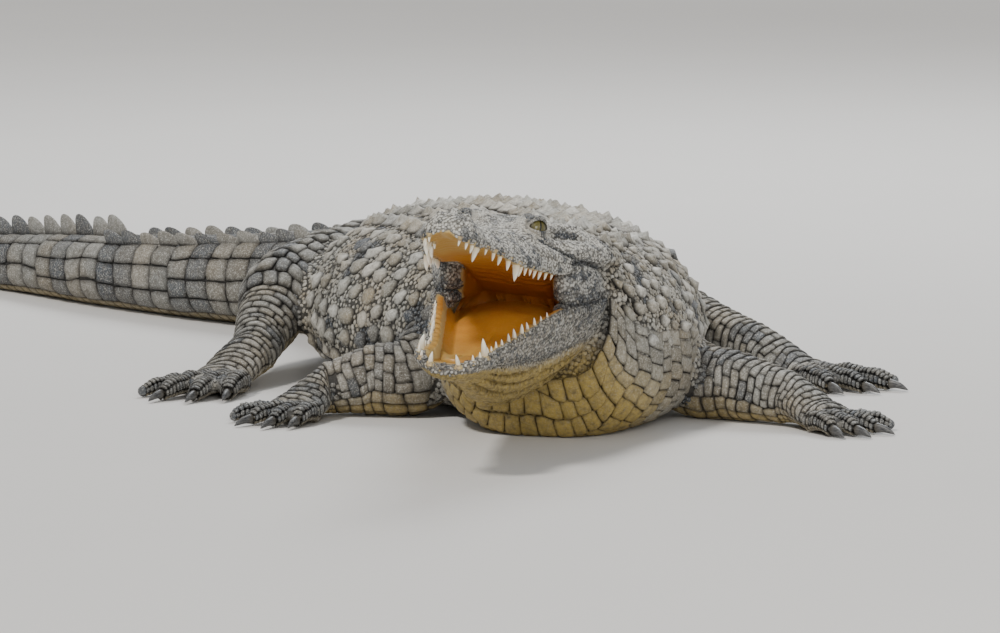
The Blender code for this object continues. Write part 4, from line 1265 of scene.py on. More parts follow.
def build_toe_tip(toe, inset, atlas):
    """A rounded pad over the end of a toe that has no claw."""
    reach = toe.half_widths[-1] - inset + 0.0018
    base = toe.centre(toe.length - 0.0075)
    turn, a = np.linspace(0, 1.5, 7)[:, None], circle(14)
    ahead, across, over = (part[..., None] * reach for part in (
        np.sin(turn) + 0 * a, np.cos(turn) * np.cos(a), np.cos(turn) * np.sin(a)))
    rings = base + toe.direction * ahead + toe.across[-1] * across + toe.over[-1] * over
    obj = join_shells("toe_tip", [grid_shell(above(rings, CLAW_FLOOR))])
    points = read_points(obj) - base
    dark, pale = toe_marker(base[None], np.zeros(1), np.zeros(1))
    same = np.ones(len(points))
    # The back of the pad, where it meets the toe, is painted dark: painted shade in the joint.
    finish_coat(obj, crack=fade(-points @ toe.direction, -0.0015, 0.0), dark=dark * same, pale=pale * same,
                tint=0.3 * same)
    spot = np.stack((points @ toe.across[-1], points @ toe.over[-1]), 1) / reach
    write_bake_map(obj, np.array([float(n) for n in atlas(toe.length, 0.0)]) + BAKE_PATCH * spot)
    turn_out(obj)
    return obj


def turn_out(obj):
    """Sees to it that the faces of a coat piece point out of it."""
    with editing(obj) as mesh:
        if mesh.calc_volume(signed=True) < 0:
            bmesh.ops.reverse_faces(mesh, faces=mesh.faces)


def is_outside(tree, point):
    place, normal, _, _ = tree.find_nearest(Vector(point))
    return (Vector(point) - place).dot(normal) > 0.0


def finish_coat(obj, **marks):
    for name in ("crack", "dark", "pale", "tint"):
        add_values(obj, name, marks[name])


def write_bake_map(obj, place):
    layer = obj.data.uv_layers.new(name="OFBake")
    layer.data.foreach_set("uv", place[corners_of(obj)].astype(np.float32).ravel())


def join_pieces(name, pieces):
    """Joins meshes of one kind into a single piece."""
    bpy.ops.object.select_all(action="DESELECT")
    for piece in pieces:
        piece.select_set(True)
    bpy.context.view_layer.objects.active = pieces[0]
    bpy.ops.object.join()
    pieces[0].name = pieces[0].data.name = name
    return pieces[0]


def whorls():
    """Rows of the tail, one for each whorl, as place and half length."""
    rows = []
    for start, end in zip(TAIL_PARTS, TAIL_PARTS[1:]):
        rows += even_rows(start, end, WHORL_LENGTH)
    return rows


def crest_height(s):
    if s < SINGLE_CREST_FROM:
        return DOUBLE_CREST_HEIGHT * min(1.0, 0.45 + (s - TAIL_START) / 0.65)
    rest = (BODY_LENGTH - s) / (BODY_LENGTH - SINGLE_CREST_FROM)
    return SINGLE_CREST_HEIGHT * min(1.0, 0.15 + 1.6 * rest) * (0.25 + 0.75 * rest ** 0.5)


def crest_v(s):
    a = np.interp(s, BODY.coarse, np.arange(len(BODY.coarse)))
    return float(np.interp(CREST_ANGLE, BODY.angles[int(a)], BODY.v))


def build_crest(inset):
    """Upright plates along the tail: two rows as far as its middle, and one from there on."""
    plates = []
    for s, reach in whorls()[:-1]:
        places = (crest_v(s), -crest_v(s)) if s < SINGLE_CREST_FROM else (0.0,)
        plates += [(s, v, reach, crest_height(s)) for v in places]
    s, v, reach, high = np.array(plates).T
    base = BODY.lifted(s, v, np.full(len(s), -0.003), inset)
    out = BODY.normal(s, v, inset)
    up = unit(out * 0.55 + np.array((0, 0, 1.0)))
    along = unit(BODY.centre(s + 0.01) - BODY.centre(s - 0.01))
    along = unit(along - up * np.sum(along * up, 1, keepdims=True))
    across = np.cross(up, along)
    chance = np.random.default_rng(17)
    t = np.array((0.0, 0.3, 0.55, 0.75, 0.88, 0.96, 1.0))[None, :, None]
    a = circle(14)[None, None, :]
    grow = chance.uniform(0.88, 1.12, (len(s), 1, 1))
    lean = chance.normal(0, 0.1, (len(s), 1, 1))
    reach, high = reach[:, None, None], high[:, None, None]
    length = reach * (0.12 + 1.02 * (1 - t ** 2.6) ** 0.6)
    thick = (0.003 + 0.1 * high) * (1 - 0.8 * t ** 0.8)
    height = (high + 0.006) * t * grow
    back = reach * (0.3 * t + 0.45 * t ** 2)
    forward = length * np.sign(np.cos(a)) * np.abs(np.cos(a)) ** 0.8 + back
    sideways = thick * np.sin(a) + lean * height
    points = (base[:, None, None] + along[:, None, None] * forward[..., None]
              + across[:, None, None] * sideways[..., None] + up[:, None, None] * height[..., None])
    obj = join_shells("tail_crest", [grid_shell(rings) for rings in points], merge=False)
    each = 7 * 14 + 2
    # Each plate is painted dark at its foot, where it stands out of the tail: painted shade in the joint.
    crack = np.concatenate((np.repeat((0.9, 0.35, 0.12, 0.0, 0.0, 0.0, 0.0), 14), (1, 0)))
    dark = body_marks(base, s, v)[0]
    finish_coat(obj, crack=np.tile(crack, len(s)), dark=np.repeat(0.22 + 0.7 * dark, each),
                pale=np.zeros(len(s) * each), tint=np.repeat(0.2 + 0.45 * chance.random(len(s)), each))
    u0, v0 = atlas_body(s, v)
    spot = [(turned * (1 - 0.8 * t))[0].ravel() for turned in (np.cos(a), np.sin(a))]
    spot = np.concatenate((np.stack(spot, 1), np.zeros((2, 2))))
    write_bake_map(obj, (np.stack((u0, v0), 1)[:, None] + BAKE_PATCH * spot[None]).reshape(-1, 2))
    turn_out(obj)
    return obj


def scattered(s_range, v_range, apart, count, seed):
    """Random places on both sides of the body, no two nearer than apart."""
    chance = np.random.default_rng(seed)
    found = []
    for _ in range(count * 60):
        s, v = chance.uniform(*s_range), chance.uniform(*v_range) * chance.choice((-1, 1))
        place = np.array((s, v * float(BODY.girth(s))))
        if all(np.linalg.norm(place - other) > apart for other in found):
            found.append(place)
        if len(found) >= count:
            break
    return np.array([(s, b / float(BODY.girth(s))) for s, b in found])


def loose_cells(places, size, height, keel, square, seed, stretch=1.0):
    chance = np.random.default_rng(seed)
    n = len(places)
    grow = chance.uniform(0.75, 1.2, n)
    return np.stack((places[:, 0], places[:, 1], size / 2 * grow * stretch, size / 2 * grow, height * grow,
                     keel * grow * chance.uniform(0.5, 1.3, n), np.full(n, square), np.zeros(n),
                     chance.uniform(-0.5, 0.5, n), chance.random(n)), 1)


# ---- Grains over the skin, by Geometry Nodes ----


def build_grain(sides=6):
    """One low dome, closed underneath, a unit across, with its place on the bake map and its rim marked."""
    radii = (0.74, 1.0)
    angles, faces = dome_template(sides, radii)
    ring = np.array((*radii, 0.9))[:, None]
    x, y = (ring * np.cos(angles)).ravel(), (ring * np.sin(angles)).ravel()
    z = np.repeat((0.7, 0.08, -0.45), sides)
    points = np.concatenate(([(0, 0, 1.0)], np.stack((x, y, z), 1)))
    obj = make_mesh("grain", points * 0.5, faces)
    turn_out(obj)
    # The rim and underside are marked dark: painted shade where the grain meets the skin.
    add_values(obj, "crack", np.concatenate(([0.0], np.repeat((0.22, 1.0, 1.0), sides))))
    add_values(obj, "patch", points * (1, 1, 0))
    return obj


def node(tree, kind, inputs=None, **settings):
    """Adds a node. inputs gives each socket a value, or the socket that feeds it."""
    made = tree.nodes.new(kind)
    for key, value in settings.items():
        setattr(made, key, value)
    for key, value in (inputs or {}).items():
        if isinstance(value, bpy.types.NodeSocket):
            tree.links.new(value, made.inputs[key])
        else:
            made.inputs[key].default_value = value
    return made


def grain_tree(grain, size, spacing, height, seed):
    """Scatters the grain over a surface, each flat on it, turned at random and sized by the surface's own number."""
    tree = bpy.data.node_groups.new("grains_on_skin", "GeometryNodeTree")
    for way in ("INPUT", "OUTPUT"):
        tree.interface.new_socket(name="Geometry", in_out=way, socket_type="NodeSocketGeometry")

    def add(kind, inputs=None, output=0, **settings):
        return node(tree, kind, inputs, **settings).outputs[output]

    def math(operation, a, b):
        return add("ShaderNodeMath", {0: a, 1: b}, operation=operation)

    def own(name):
        return add("GeometryNodeInputNamedAttribute", {"Name": name}, data_type="FLOAT")

    points = node(tree, "GeometryNodeDistributePointsOnFaces", {
        "Mesh": add("NodeGroupInput"), "Distance Min": spacing, "Density Factor": own("cover"), "Seed": seed,
        "Density Max": math("DIVIDE", 3.2, math("MULTIPLY", spacing, spacing))}, distribute_method="POISSON").outputs
    spin = add("FunctionNodeRandomValue", {"Seed": 11, 2: 0.0, 3: 2 * pi}, 1, data_type="FLOAT")
    turned = add("FunctionNodeRotateRotation", {
        "Rotation": points["Rotation"], "Rotate By": add("FunctionNodeAxisAngleToRotation", {"Angle": spin})},
        rotation_space="LOCAL")
    grow = add("FunctionNodeRandomValue", {"Seed": 12, 0: (0.66, 0.66, 0.55), 1: (1.22, 1.22, 1.3)},
               data_type="FLOAT_VECTOR")
    shape = add("ShaderNodeCombineXYZ", {"X": size, "Y": size, "Z": math("MULTIPLY", size, height)})
    scale = add("ShaderNodeVectorMath", {0: shape, 1: grow}, operation="MULTIPLY")
    scale = add("ShaderNodeVectorMath", {0: scale, "Scale": own("grain_size")}, operation="SCALE")
    source = add("GeometryNodeObjectInfo", {"Object": grain}, "Geometry")
    made = add("GeometryNodeInstanceOnPoints", {"Points": points["Points"], "Instance": source, "Rotation": turned,
                                                "Scale": scale})
    tone = add("FunctionNodeRandomValue", {"Seed": 13}, 1, data_type="FLOAT")
    made = add("GeometryNodeStoreNamedAttribute", {"Geometry": made, "Name": "tint", "Value": tone}, data_type="FLOAT",
               domain="INSTANCE")
    made = add("GeometryNodeRealizeInstances", {"Geometry": made})
    made = add("GeometryNodeSetMaterial", {"Geometry": made, "Material": bpy.data.materials["scaly_hide"]})
    node(tree, "NodeGroupOutput", {0: made})
    return tree


def build_grains(name, ground, cover, size, spacing, height, seed, grain_size, tone, crack_share, speckle=1.0):
    """Grains over the part of the ground where cover is over 0."""
    keep = cover > 0.02
    faces = corners_of(ground)
    start, total = (read(ground.data.polygons, key, 1, np.int32) for key in ("loop_start", "loop_total"))
    inside = np.add.reduceat(keep[faces].astype(int), start) == total
    number = np.cumsum(keep) - 1
    sheets = [number[faces[start[inside & (total == n)][:, None] + np.arange(n)]] for n in (3, 4)]
    corners = [row for sheet in sheets for row in sheet.tolist()]
    obj = make_mesh(name, read_points(ground)[keep], corners)
    for key in ("dark", "pale"):
        add_values(obj, key, read_values(ground, key)[keep])
    add_values(obj, "cover", cover[keep])
    add_values(obj, "grain_size", (grain_size * np.ones(len(cover)))[keep])
    add_values(obj, "root_place", read_vectors(ground, "root_place")[keep])
    grain = build_grain()
    modifier = obj.modifiers.new("grains", "NODES")
    modifier.node_group = grain_tree(grain, size, spacing, height, seed)
    keep_result(obj)
    write_bake_map(obj, (read_vectors(obj, "root_place") + BAKE_PATCH * read_vectors(obj, "patch"))[:, :2])
    for key in ("root_place", "patch", "cover", "grain_size"):
        obj.data.attributes.remove(obj.data.attributes[key])
    pick, dark = read_values(obj, "tint"), read_values(obj, "dark")
    # The grains' rims take their painted shade at the given share, and a few grains turn dark at random.
    for key, values in (("tint", tone[0] + (tone[1] - tone[0]) * pick),
                        ("crack", crack_share * read_values(obj, "crack")),
                        ("dark", np.clip(dark + 0.55 * speckle * (pick < 0.16), 0, 1))):
        obj.data.attributes[key].data.foreach_set("value", values.astype(np.float32))
    remove(grain)
    turn_out(obj)
    return obj


# ---- Materials ----


class Paint:
    """A material with one shader, and short ways to add what feeds it."""

    def __init__(self, name, **values):
        self.material = bpy.data.materials.new(name)
        self.material.use_nodes = True
        self.tree = self.material.node_tree
        self.tree.nodes.clear()
        self.shader = node(self.tree, "ShaderNodeBsdfPrincipled", values)
        node(self.tree, "ShaderNodeOutputMaterial", {"Surface": self.shader.outputs[0]})
        self.place = node(self.tree, "ShaderNodeTexCoord").outputs["Object"]

    def noise(self, scale, detail=3.0, rough=0.55, stretch=None, turn=0.0):
        place = self.place
        if stretch:
            place = node(self.tree, "ShaderNodeMapping", {"Vector": place, "Scale": stretch, "Rotation": (0, 0, turn)},
                         vector_type="TEXTURE").outputs[0]
        return node(self.tree, "ShaderNodeTexNoise", {
            "Vector": place, "Scale": scale, "Detail": detail, "Roughness": rough}).outputs["Fac"]

    def cells(self, scale):
        return node(self.tree, "ShaderNodeTexVoronoi", {"Vector": self.place, "Scale": scale},
                    feature="DISTANCE_TO_EDGE").outputs["Distance"]

    def value(self, name):
        return node(self.tree, "ShaderNodeAttribute", attribute_name=name).outputs["Fac"]

    def level(self, value, low, high, to_low=0.0, to_high=1.0):
        return node(self.tree, "ShaderNodeMapRange", {
            "Value": value, "From Min": low, "From Max": high, "To Min": to_low, "To Max": to_high}).outputs[0]

    def math(self, operation, a, b):
        return node(self.tree, "ShaderNodeMath", {0: a, 1: b}, operation=operation, use_clamp=True).outputs[0]

    def mix(self, share, a, b):
        made = node(self.tree, "ShaderNodeMix", data_type="RGBA")
        for socket, value in ((made.inputs[0], share), (made.inputs[6], a), (made.inputs[7], b)):
            if isinstance(value, bpy.types.NodeSocket):
                self.tree.links.new(value, socket)
            else:
                socket.default_value = value if isinstance(value, float) else (*value, 1.0)
        return made.outputs[2]

    def finish(self, colour, roughness=None, height=None, distance=0.001, strength=1.0):
        self.tree.links.new(colour, self.shader.inputs["Base Color"])
        if roughness is not None:
            self.tree.links.new(roughness, self.shader.inputs["Roughness"])
        if height is not None:
            bump = node(self.tree, "ShaderNodeBump", {"Height": height, "Distance": distance, "Strength": strength})
            self.tree.links.new(bump.outputs[0], self.shader.inputs["Normal"])
        return self.material


def paint_hide(colours):
    """Hide: pale worn tops, near-black cracks with painted shade in them, slate blotches, a yellow belly and an orange
    mouth with painted shade deep in the throat.
    """
    p = Paint("scaly_hide", **{"Specular IOR Level": 0.42})
    tint, dark, pale, crack = (p.value(name) for name in ("tint", "dark", "pale", "crack"))
    patchy = p.noise(9.0, 4.0)
    base = p.mix(p.level(patchy, 0.38, 0.62), colours.hide, colours.hide_warm)
    base = p.mix(p.level(tint, 0.0, 1.0, 0.0, 0.72), base, colours.hide_light)
    base = p.mix(dark, base, colours.slate)
    base = p.mix(pale, base, colours.belly)
    grime = p.noise(120.0, 5.0, 0.62)
    base = p.mix(p.level(grime, 0.42, 0.72, 0.0, 0.7), base, colours.grime)
    worn = p.noise(420.0, 3.0, 0.6)
    scuffed = p.math("SUBTRACT", 1.0, p.math("MULTIPLY", pale, 0.75))
    base = p.mix(p.math("MULTIPLY", p.level(worn, 0.5, 0.74, 0.0, 0.6), scuffed), base, colours.worn)
    # The cracks and the bare skin between the scales turn near-black: their dark joints with painted shade in them, a
    # little less on the belly.
    share = p.math("SUBTRACT", 0.93, p.math("MULTIPLY", pale, 0.3))
    base = p.mix(p.math("MULTIPLY", crack, share), base, colours.crack)
    mouth, depth = p.value("mouth"), p.value("depth")
    rugae = p.noise(60.0, 4.0, 0.6, (6.0, 0.25, 0.25), -HEAD_YAW)
    inner = p.mix(p.level(depth, 0.15, 0.85), colours.mouth_light, colours.mouth)
    inner = p.mix(p.math("MULTIPLY", p.level(rugae, 0.4, 0.7), p.level(depth, 0.0, 1.0, 0.25, 0.8)), inner,
                  colours.mouth_deep)
    # Darker still at the back of the throat: painted shade deep in the mouth.
    inner = p.mix(p.level(depth, 0.78, 1.0, 0.0, 0.85), inner, colours.mouth_deep)
    base = p.mix(p.level(mouth, 0.1, 0.45), base, colours.gum)
    base = p.mix(p.level(mouth, 0.55, 0.95), base, inner)
    rough = p.mix(mouth, p.mix(grime, (0.5, 0.5, 0.5), (0.78, 0.78, 0.78)), (0.34, 0.34, 0.34))
    fine = p.noise(900.0, 4.0, 0.65)
    pits = p.level(p.cells(650.0), 0.0, 0.1)
    height = p.math("ADD", p.math("MULTIPLY", fine, 0.6), p.math("MULTIPLY", pits, 0.35))
    return p.finish(base, rough, height, 0.0006, 0.8)


def paint_mouth(colours):
    p = Paint("wet_mouth", **{"Specular IOR Level": 0.5, "Subsurface Weight": 0.12, "Subsurface Scale": 0.01,
                                 "Subsurface Radius": (1.0, 0.35, 0.12)})
    depth = p.value("depth")
    wide = p.noise(26.0, 4.0)
    fine = p.noise(300.0, 4.0, 0.6)
    base = p.mix(p.level(depth, 0.1, 0.7), colours.mouth_light, colours.mouth)
    base = p.mix(p.level(wide, 0.4, 0.75, 0.0, 0.55), base, colours.mouth_deep)
    base = p.mix(p.level(fine, 0.48, 0.75, 0.0, 0.25), base, colours.mouth_light)
    rough = p.level(fine, 0.3, 0.7, 0.28, 0.5)
    return p.finish(base, rough, fine, 0.0008, 0.7)


def paint_gum(colours):
    p = Paint("gum_flesh", **{"Specular IOR Level": 0.5, "Subsurface Weight": 0.1, "Subsurface Scale": 0.004})
    fine = p.noise(260.0, 4.0, 0.6)
    base = p.mix(p.level(fine, 0.38, 0.66), colours.gum, colours.gum_dark)
    return p.finish(base, p.level(fine, 0.3, 0.7, 0.3, 0.55), fine, 0.0006, 0.7)


def paint_tooth(colours):
    p = Paint("tooth_enamel", **{"Specular IOR Level": 0.5, "Coat Weight": 0.25, "Coat Roughness": 0.2,
                          "Subsurface Weight": 0.1, "Subsurface Scale": 0.003})
    along = p.value("along")
    streaks = p.noise(240.0, 4.0, 0.6, (1.0, 1.0, 4.0))
    base = p.mix(p.level(along, 0.15, 0.85), colours.tooth_root, colours.tooth)
    base = p.mix(p.level(streaks, 0.55, 0.8, 0.0, 0.5), base, colours.tooth_stain)
    return p.finish(base, p.level(streaks, 0.3, 0.7, 0.22, 0.42), streaks, 0.0003, 0.5)


def paint_eye(colours):
    p = Paint("wet_eye", **{"Specular IOR Level": 0.3, "Coat Weight": 0.5, "Coat Roughness": 0.02, "Roughness": 0.4})
    around, slit = p.value("round"), p.value("slit")
    flecks = p.noise(900.0, 4.0, 0.7)
    base = p.mix(p.level(flecks, 0.35, 0.65), colours.iris, colours.iris_dark)
    # Darker towards the edge of the eyeball, which shows in the corners between the lids: partly the eyeball's dark
    # edge, partly painted shade in the corners.
    base = p.mix(p.level(around, 0.55, 0.8), base, colours.eye_rim)
    base = p.mix(p.level(slit, 0.85, 1.15, 1.0, 0.0), base, (0.004, 0.004, 0.003))
    return p.finish(base)


def paint_claw(colours):
    p = Paint("claw_horn", **{"Specular IOR Level": 0.5})
    along = p.value("along")
    streaks = p.noise(160.0, 4.0, 0.6, (1.0, 1.0, 0.35))
    base = p.mix(p.level(streaks, 0.35, 0.7), colours.claw, colours.claw_light)
    base = p.mix(p.level(along, 0.0, 0.35, 0.6, 0.0), base, colours.grime)
    return p.finish(base, p.level(streaks, 0.3, 0.7, 0.32, 0.58), streaks, 0.0005, 0.6)


def paint_floor(colours):
    p = Paint("studio_floor", **{"Specular IOR Level": 0.2, "Roughness": 0.9})
    soft = p.noise(2.0, 2.0)
    return p.finish(p.mix(p.level(soft, 0.3, 0.7), colours.floor, tuple(0.985 * c for c in colours.floor)))


# ---- Pieces ----

PAINTERS = {"scaly_hide": paint_hide, "wet_mouth": paint_mouth, "gum_flesh": paint_gum, "tooth_enamel": paint_tooth,
            "wet_eye": paint_eye, "claw_horn": paint_claw, "studio_floor": paint_floor}


def material(name):
    """The material of this name, made the first time that it is asked for."""
    found = bpy.data.materials.get(name)
    return found if found else PAINTERS[name](bpy.context.scene.croc_colours)


def ride(obj, look):
    """Gives a finished piece its material and smooth shading, and hands it to the model."""
    obj.data.materials.clear()
    obj.data.materials.append(material(look))
    obj.data.polygons.foreach_set("material_index", np.zeros(len(obj.data.polygons), np.int32))
    obj.data.polygons.foreach_set("use_smooth", np.full(len(obj.data.polygons), True))
    obj.data.update()
    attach(obj, "root")


def tree_of(obj):
    return BVHTree.FromObject(obj, bpy.context.evaluated_depsgraph_get())


def limb_share(points):
    """For each point, the limb whose flesh it is in, or -1, with its places on that limb."""
    owner = np.full(len(points), -1)
    place, turn = np.zeros(len(points)), np.zeros(len(points))
    best = np.full(len(points), 1.35)
    for number, tube in enumerate(TUBES.values()):
        parts = [tube, *tube.toes]
        low = np.min([p.centres.min(0) for p in parts], axis=0) - 0.1
        high = np.max([p.centres.max(0) for p in parts], axis=0) + 0.1
        near = np.flatnonzero(np.all((points > low) & (points < high), axis=1))
        for part in parts:
            s = np.linspace(0, part.length, 60)
            gaps = points[near, None] - part.centre(s)[None]
            nearest = np.argmin((gaps ** 2).sum(2), axis=1)
            gap = gaps[np.arange(len(near)), nearest]
            width = np.interp(s, part.s, part.half_widths)[nearest]
            across = (gap * part.read(s[nearest], part.across)).sum(1)
            over = (gap * part.read(s[nearest], part.over)).sum(1)
            reach = np.hypot(across, over) / width
            better = reach < best[near]
            hit = near[better]
            best[hit], owner[hit], place[hit] = reach[better], number, s[nearest][better] / part.length
            turn[hit] = np.arctan2(-across[better], over[better]) / pi
    s, v = body_place(points)
    centre = BODY.centre(s)
    width = np.interp(s, BODY.s, BODY.sizes[0])
    on_trunk = np.linalg.norm((points - centre)[:, :2], axis=1) < width * 1.02
    owner[on_trunk & (s > 0.001) & (s < 1.1)] = -1
    return owner, place, turn


def mark_skin(skin):
    """Gives the skin the markings that the coat has, painted shade in its gaps, creases and folds, and its places on
    the bake map.
    """
    points, normals = read_points(skin), read_normals(skin)
    s, v = body_place(points)
    dark, pale = body_marks(points, s, v)
    owner, place, turn = limb_share(points)
    limb_dark, limb_pale = limb_marks(points, turn)
    limb = owner >= 0
    dark, pale = np.where(limb, limb_dark, dark), np.where(limb, limb_pale, pale)
    u, w = atlas_body(s, v)
    u = np.where(limb, 0.02 + 0.24 * np.maximum(owner, 0) + 0.22 * place, u)
    w = np.where(limb, 0.43 + 0.11 * (turn + 1), w)
    ahead = ahead_of_joint(points)
    near = joint_gap(points) < 0.55
    head = fade(ahead, -0.02, 0.006) * near * ~limb
    head_dark, head_pale = head_marks(points)
    dark, pale = dark + (head_dark - dark) * head, pale + (head_pale - pale) * head
    head_u, head_w = atlas_head(points)
    u, w = np.where(head > 0.5, head_u, u), np.where(head > 0.5, head_w, w)
    mouth = mouth_share(points, normals) * (head > 0.3)
    # The bare skin is painted near-black where it shows between the scales, less on the head and at the ends of the
    # feet: dark joints with painted shade.
    crack = np.where(limb & (place > 0.93), 0.3, 0.97 - 0.32 * head)
    # On the pale throat only the grooves of its folds are darkened, as painted shade, and none of it inside the mouth.
    crack = np.where((pale > 0.3) & (head > 0.5), np.clip(throat_fold(points) * 0.8, 0.1, 0.8), crack) * (1 - mouth)
    near_eye = eye_gap(points)
    # Darker on the lids next to the eye's opening: partly the lids' dark rim, partly painted shade at their edge.
    crack = np.where(near_eye < 0.032, 0.42 * until(near_eye, 0.015, 0.0215), crack)
    # Painted shade in the head's creases and nostril slits, with some dirt in the creases.
    crack = np.maximum(crack, np.maximum(creases(points) * (s < 0.3), nostrils(points)))
    finish_coat(skin, crack=crack, dark=dark, pale=pale, tint=0.4 + 0.3 * cloud(points, 0.02, 8))
    add_values(skin, "mouth", mouth)
    add_values(skin, "depth", throat_depth(points))
    add_values(skin, "root_place", np.stack((u, w, 0 * u), 1))
    add_values(skin, "head", head)
    add_values(skin, "limb", limb)


def coat_piece(obj):
    ride(obj, "scaly_hide")


def coat_body(name, cells, **look):
    """Scales on the trunk, the neck or the tail."""
    inset = bpy.context.scene.croc_sizes.trunk_coat
    coat_piece(build_scales(name, BODY, cells, inset, body_marks, atlas_body, tree_of(skin_object()), **look))


def limb_atlas(number, toe=None):
    """Where the scales of a limb or a toe lie on the bake map."""
    tube = list(TUBES.values())[number]

    def place(s, v):
        if toe is None:
            return 0.02 + 0.24 * number + 0.22 * s / tube.length, 0.43 + 0.22 * (v + 1) / 2
        return 0.02 + 0.24 * number + 0.045 * toe + 0.04 * s / 0.14, 0.66 + 0.03 * (v + 1) / 2

    return place


def limb_marker(points, s, v):
    return limb_marks(points, v)


def toe_marker(points, s, v):
    dark, pale = limb_marks(points, v)
    return 0.82 + 0.16 * dark, pale * 0.3


def shield_row(s):
    """How many scutes a row of the back has on each side, and how wide they are."""
    return 3 if s < 0.4 or s > 0.98 else 4, 0.043 if s < 0.95 else 0.036


def field_for_trunk(sizes):
    """The shield of keeled scutes down the back."""
    parts = []
    for number, (s, reach) in enumerate(even_rows(0.285, TAIL_START, sizes.scute_row)):
        girth = float(BODY.girth(s))
        count, width = shield_row(s)
        parts.append(field(BODY, [(s, reach)], 0.0, count * width / girth, width, 0.005, keel=0.0095, square=3.8,
                           jitter=0.2, gap=0.95, tilt=0.22, seed=number, columns=count))
    for s, count, size, keel in ((0.19, 2, 0.05, 0.013), (0.243, 1, 0.048, 0.012), (0.085, 2, 0.03, 0.01)):
        girth = float(BODY.girth(s))
        parts.append(field(BODY, [(s, size / 2)], 0.0, count * size / girth, size, 0.006, keel=keel, square=3.0,
                           jitter=0.16, gap=0.93, tilt=0.2, seed=int(s * 1000), columns=count))
    return np.vstack(parts)


def field_for_flanks(sizes):
    """Keeled ovals in rows down the sides, and rounded beads below them."""
    parts = []
    for number, (s, reach) in enumerate(even_rows(0.25, TAIL_START, sizes.scute_row)):
        girth = float(BODY.girth(s))
        count, width = shield_row(s)
        start = (count * width + 0.006) / girth
        parts.append(field(BODY, [(s, 0.0225)], start, 0.6, 0.034, 0.006, keel=0.0035, square=2.3, jitter=0.42,
                           gap=0.84, stagger=number % 2 == 1, skip=0.08, seed=200 + number))
    parts.append(field(BODY, even_rows(0.25, TAIL_START, 0.0205), 0.6, 0.73, 0.021, 0.005, keel=0.0, square=2.6,
                       jitter=0.3, gap=0.96, stagger=True, seed=31))
    return np.vstack(parts)


def arc_rows(start, end, v, pitch):
    """Rows whose spacing is even over the surface along the line at v."""
    s = np.linspace(start, end, 400)
    steps = np.linalg.norm(np.diff(BODY.point(s, np.full(400, v)), axis=0), axis=1)
    along = np.concatenate(([0], np.cumsum(steps)))
    count = int(along[-1] / pitch)
    edges = np.interp(np.linspace(0, along[-1], count + 1), along, s)
    return [((a + b) / 2, (b - a) / 2) for a, b in zip(edges, edges[1:])]


def field_for_belly():
    """Flat squared tiles under the trunk, the throat and the chest."""
    return np.vstack((
        field(BODY, even_rows(0.25, TAIL_START, 0.025), 0.73, 1.0, 0.024, 0.0036, square=8.0, jitter=0.05, gap=0.985,
              seed=41),
        field(BODY, arc_rows(0.002, 0.25, 0.8, 0.0315), 0.46, 1.0, 0.0255, 0.004, square=8.0, jitter=0.05,
              gap=1.0, tilt=0.3, stagger=True, seed=42)))


def field_for_tail():
    """Tall side scales in whorls, a pair of flat ones between the crests, and squared ones beneath."""
    parts = []
    for number, (s, reach) in enumerate(whorls()):
        if s > 2.8:
            continue
        girth = float(BODY.girth(s))
        top = crest_v(s) if s < SINGLE_CREST_FROM else 0.03
        if s < SINGLE_CREST_FROM:
            parts.append(field(BODY, [(s, reach)], 0.0, top * 0.93, top * girth, 0.0035, square=5.0, jitter=0.12,
                               gap=0.97, seed=400 + number, columns=1))
        span = (0.74 - top) * girth
        parts.append(field(BODY, [(s, reach)], top + 0.006, 0.74, 0.033, 0.004, keel=0.0022, square=10.0, jitter=0.05,
                           gap=0.99, tilt=0.25, seed=500 + number, columns=max(2, int(round(span / 0.038)))))
        parts.append(field(BODY, [(s - reach / 2, reach / 2), (s + reach / 2, reach / 2)], 0.74, 1.0, 0.026, 0.0032,
                           square=8.0, jitter=0.05, gap=0.985, seed=600 + number))
    return np.vstack(parts)


def field_for_neck():
    """Cones scattered among the grains of the neck and shoulders."""
    low = scattered((0.022, 0.25), (0.16, 0.5), 0.0275, 120, 51)
    high = scattered((0.03, 0.28), (0.0, 0.17), 0.026, 44, 52)
    return np.vstack((loose_cells(low, 0.02, 0.0075, 0.004, 2.2, 53, 1.15),
                      loose_cells(high, 0.021, 0.008, 0.0085, 2.2, 54, 1.3)))


def field_for_limb(tube, arm):
    """Squared plates round a limb, growing narrow and wide over the palm."""
    middle = 0.02 + (tube.wrist - 0.02) * (0.5 if arm else 0.72)
    palm = even_rows(tube.wrist, tube.length - 0.004, 0.0098 if arm else 0.0125)
    parts = [field(tube, even_rows(0.0, middle, 0.0265), 0.0, 0.62, 0.0255, 0.0046, keel=0.0018, square=4.6,
                   jitter=0.2, gap=1.0, tilt=0.3, stagger=True, seed=61),
             field(tube, even_rows(middle, tube.wrist, 0.0135), 0.0, 0.6, 0.029, 0.0036, square=7.0, jitter=0.14,
                   gap=1.04, tilt=0.4, stagger=True, seed=65),
             field(tube, even_rows(0.0, tube.wrist, 0.0205), 0.6, 1.0, 0.019, 0.0034, square=8.0, jitter=0.08,
                   gap=1.0, tilt=0.2, seed=62),
             field(tube, palm, 0.0, 0.58, 0.022 if arm else 0.026, 0.0028, square=8.0, jitter=0.1, gap=1.04,
                   tilt=0.45, stagger=True, seed=63),
             field(tube, palm, 0.58, 0.99, 0.011, 0.0028, square=3.0, jitter=0.2, gap=0.98, seed=64)]
    return np.vstack(parts)


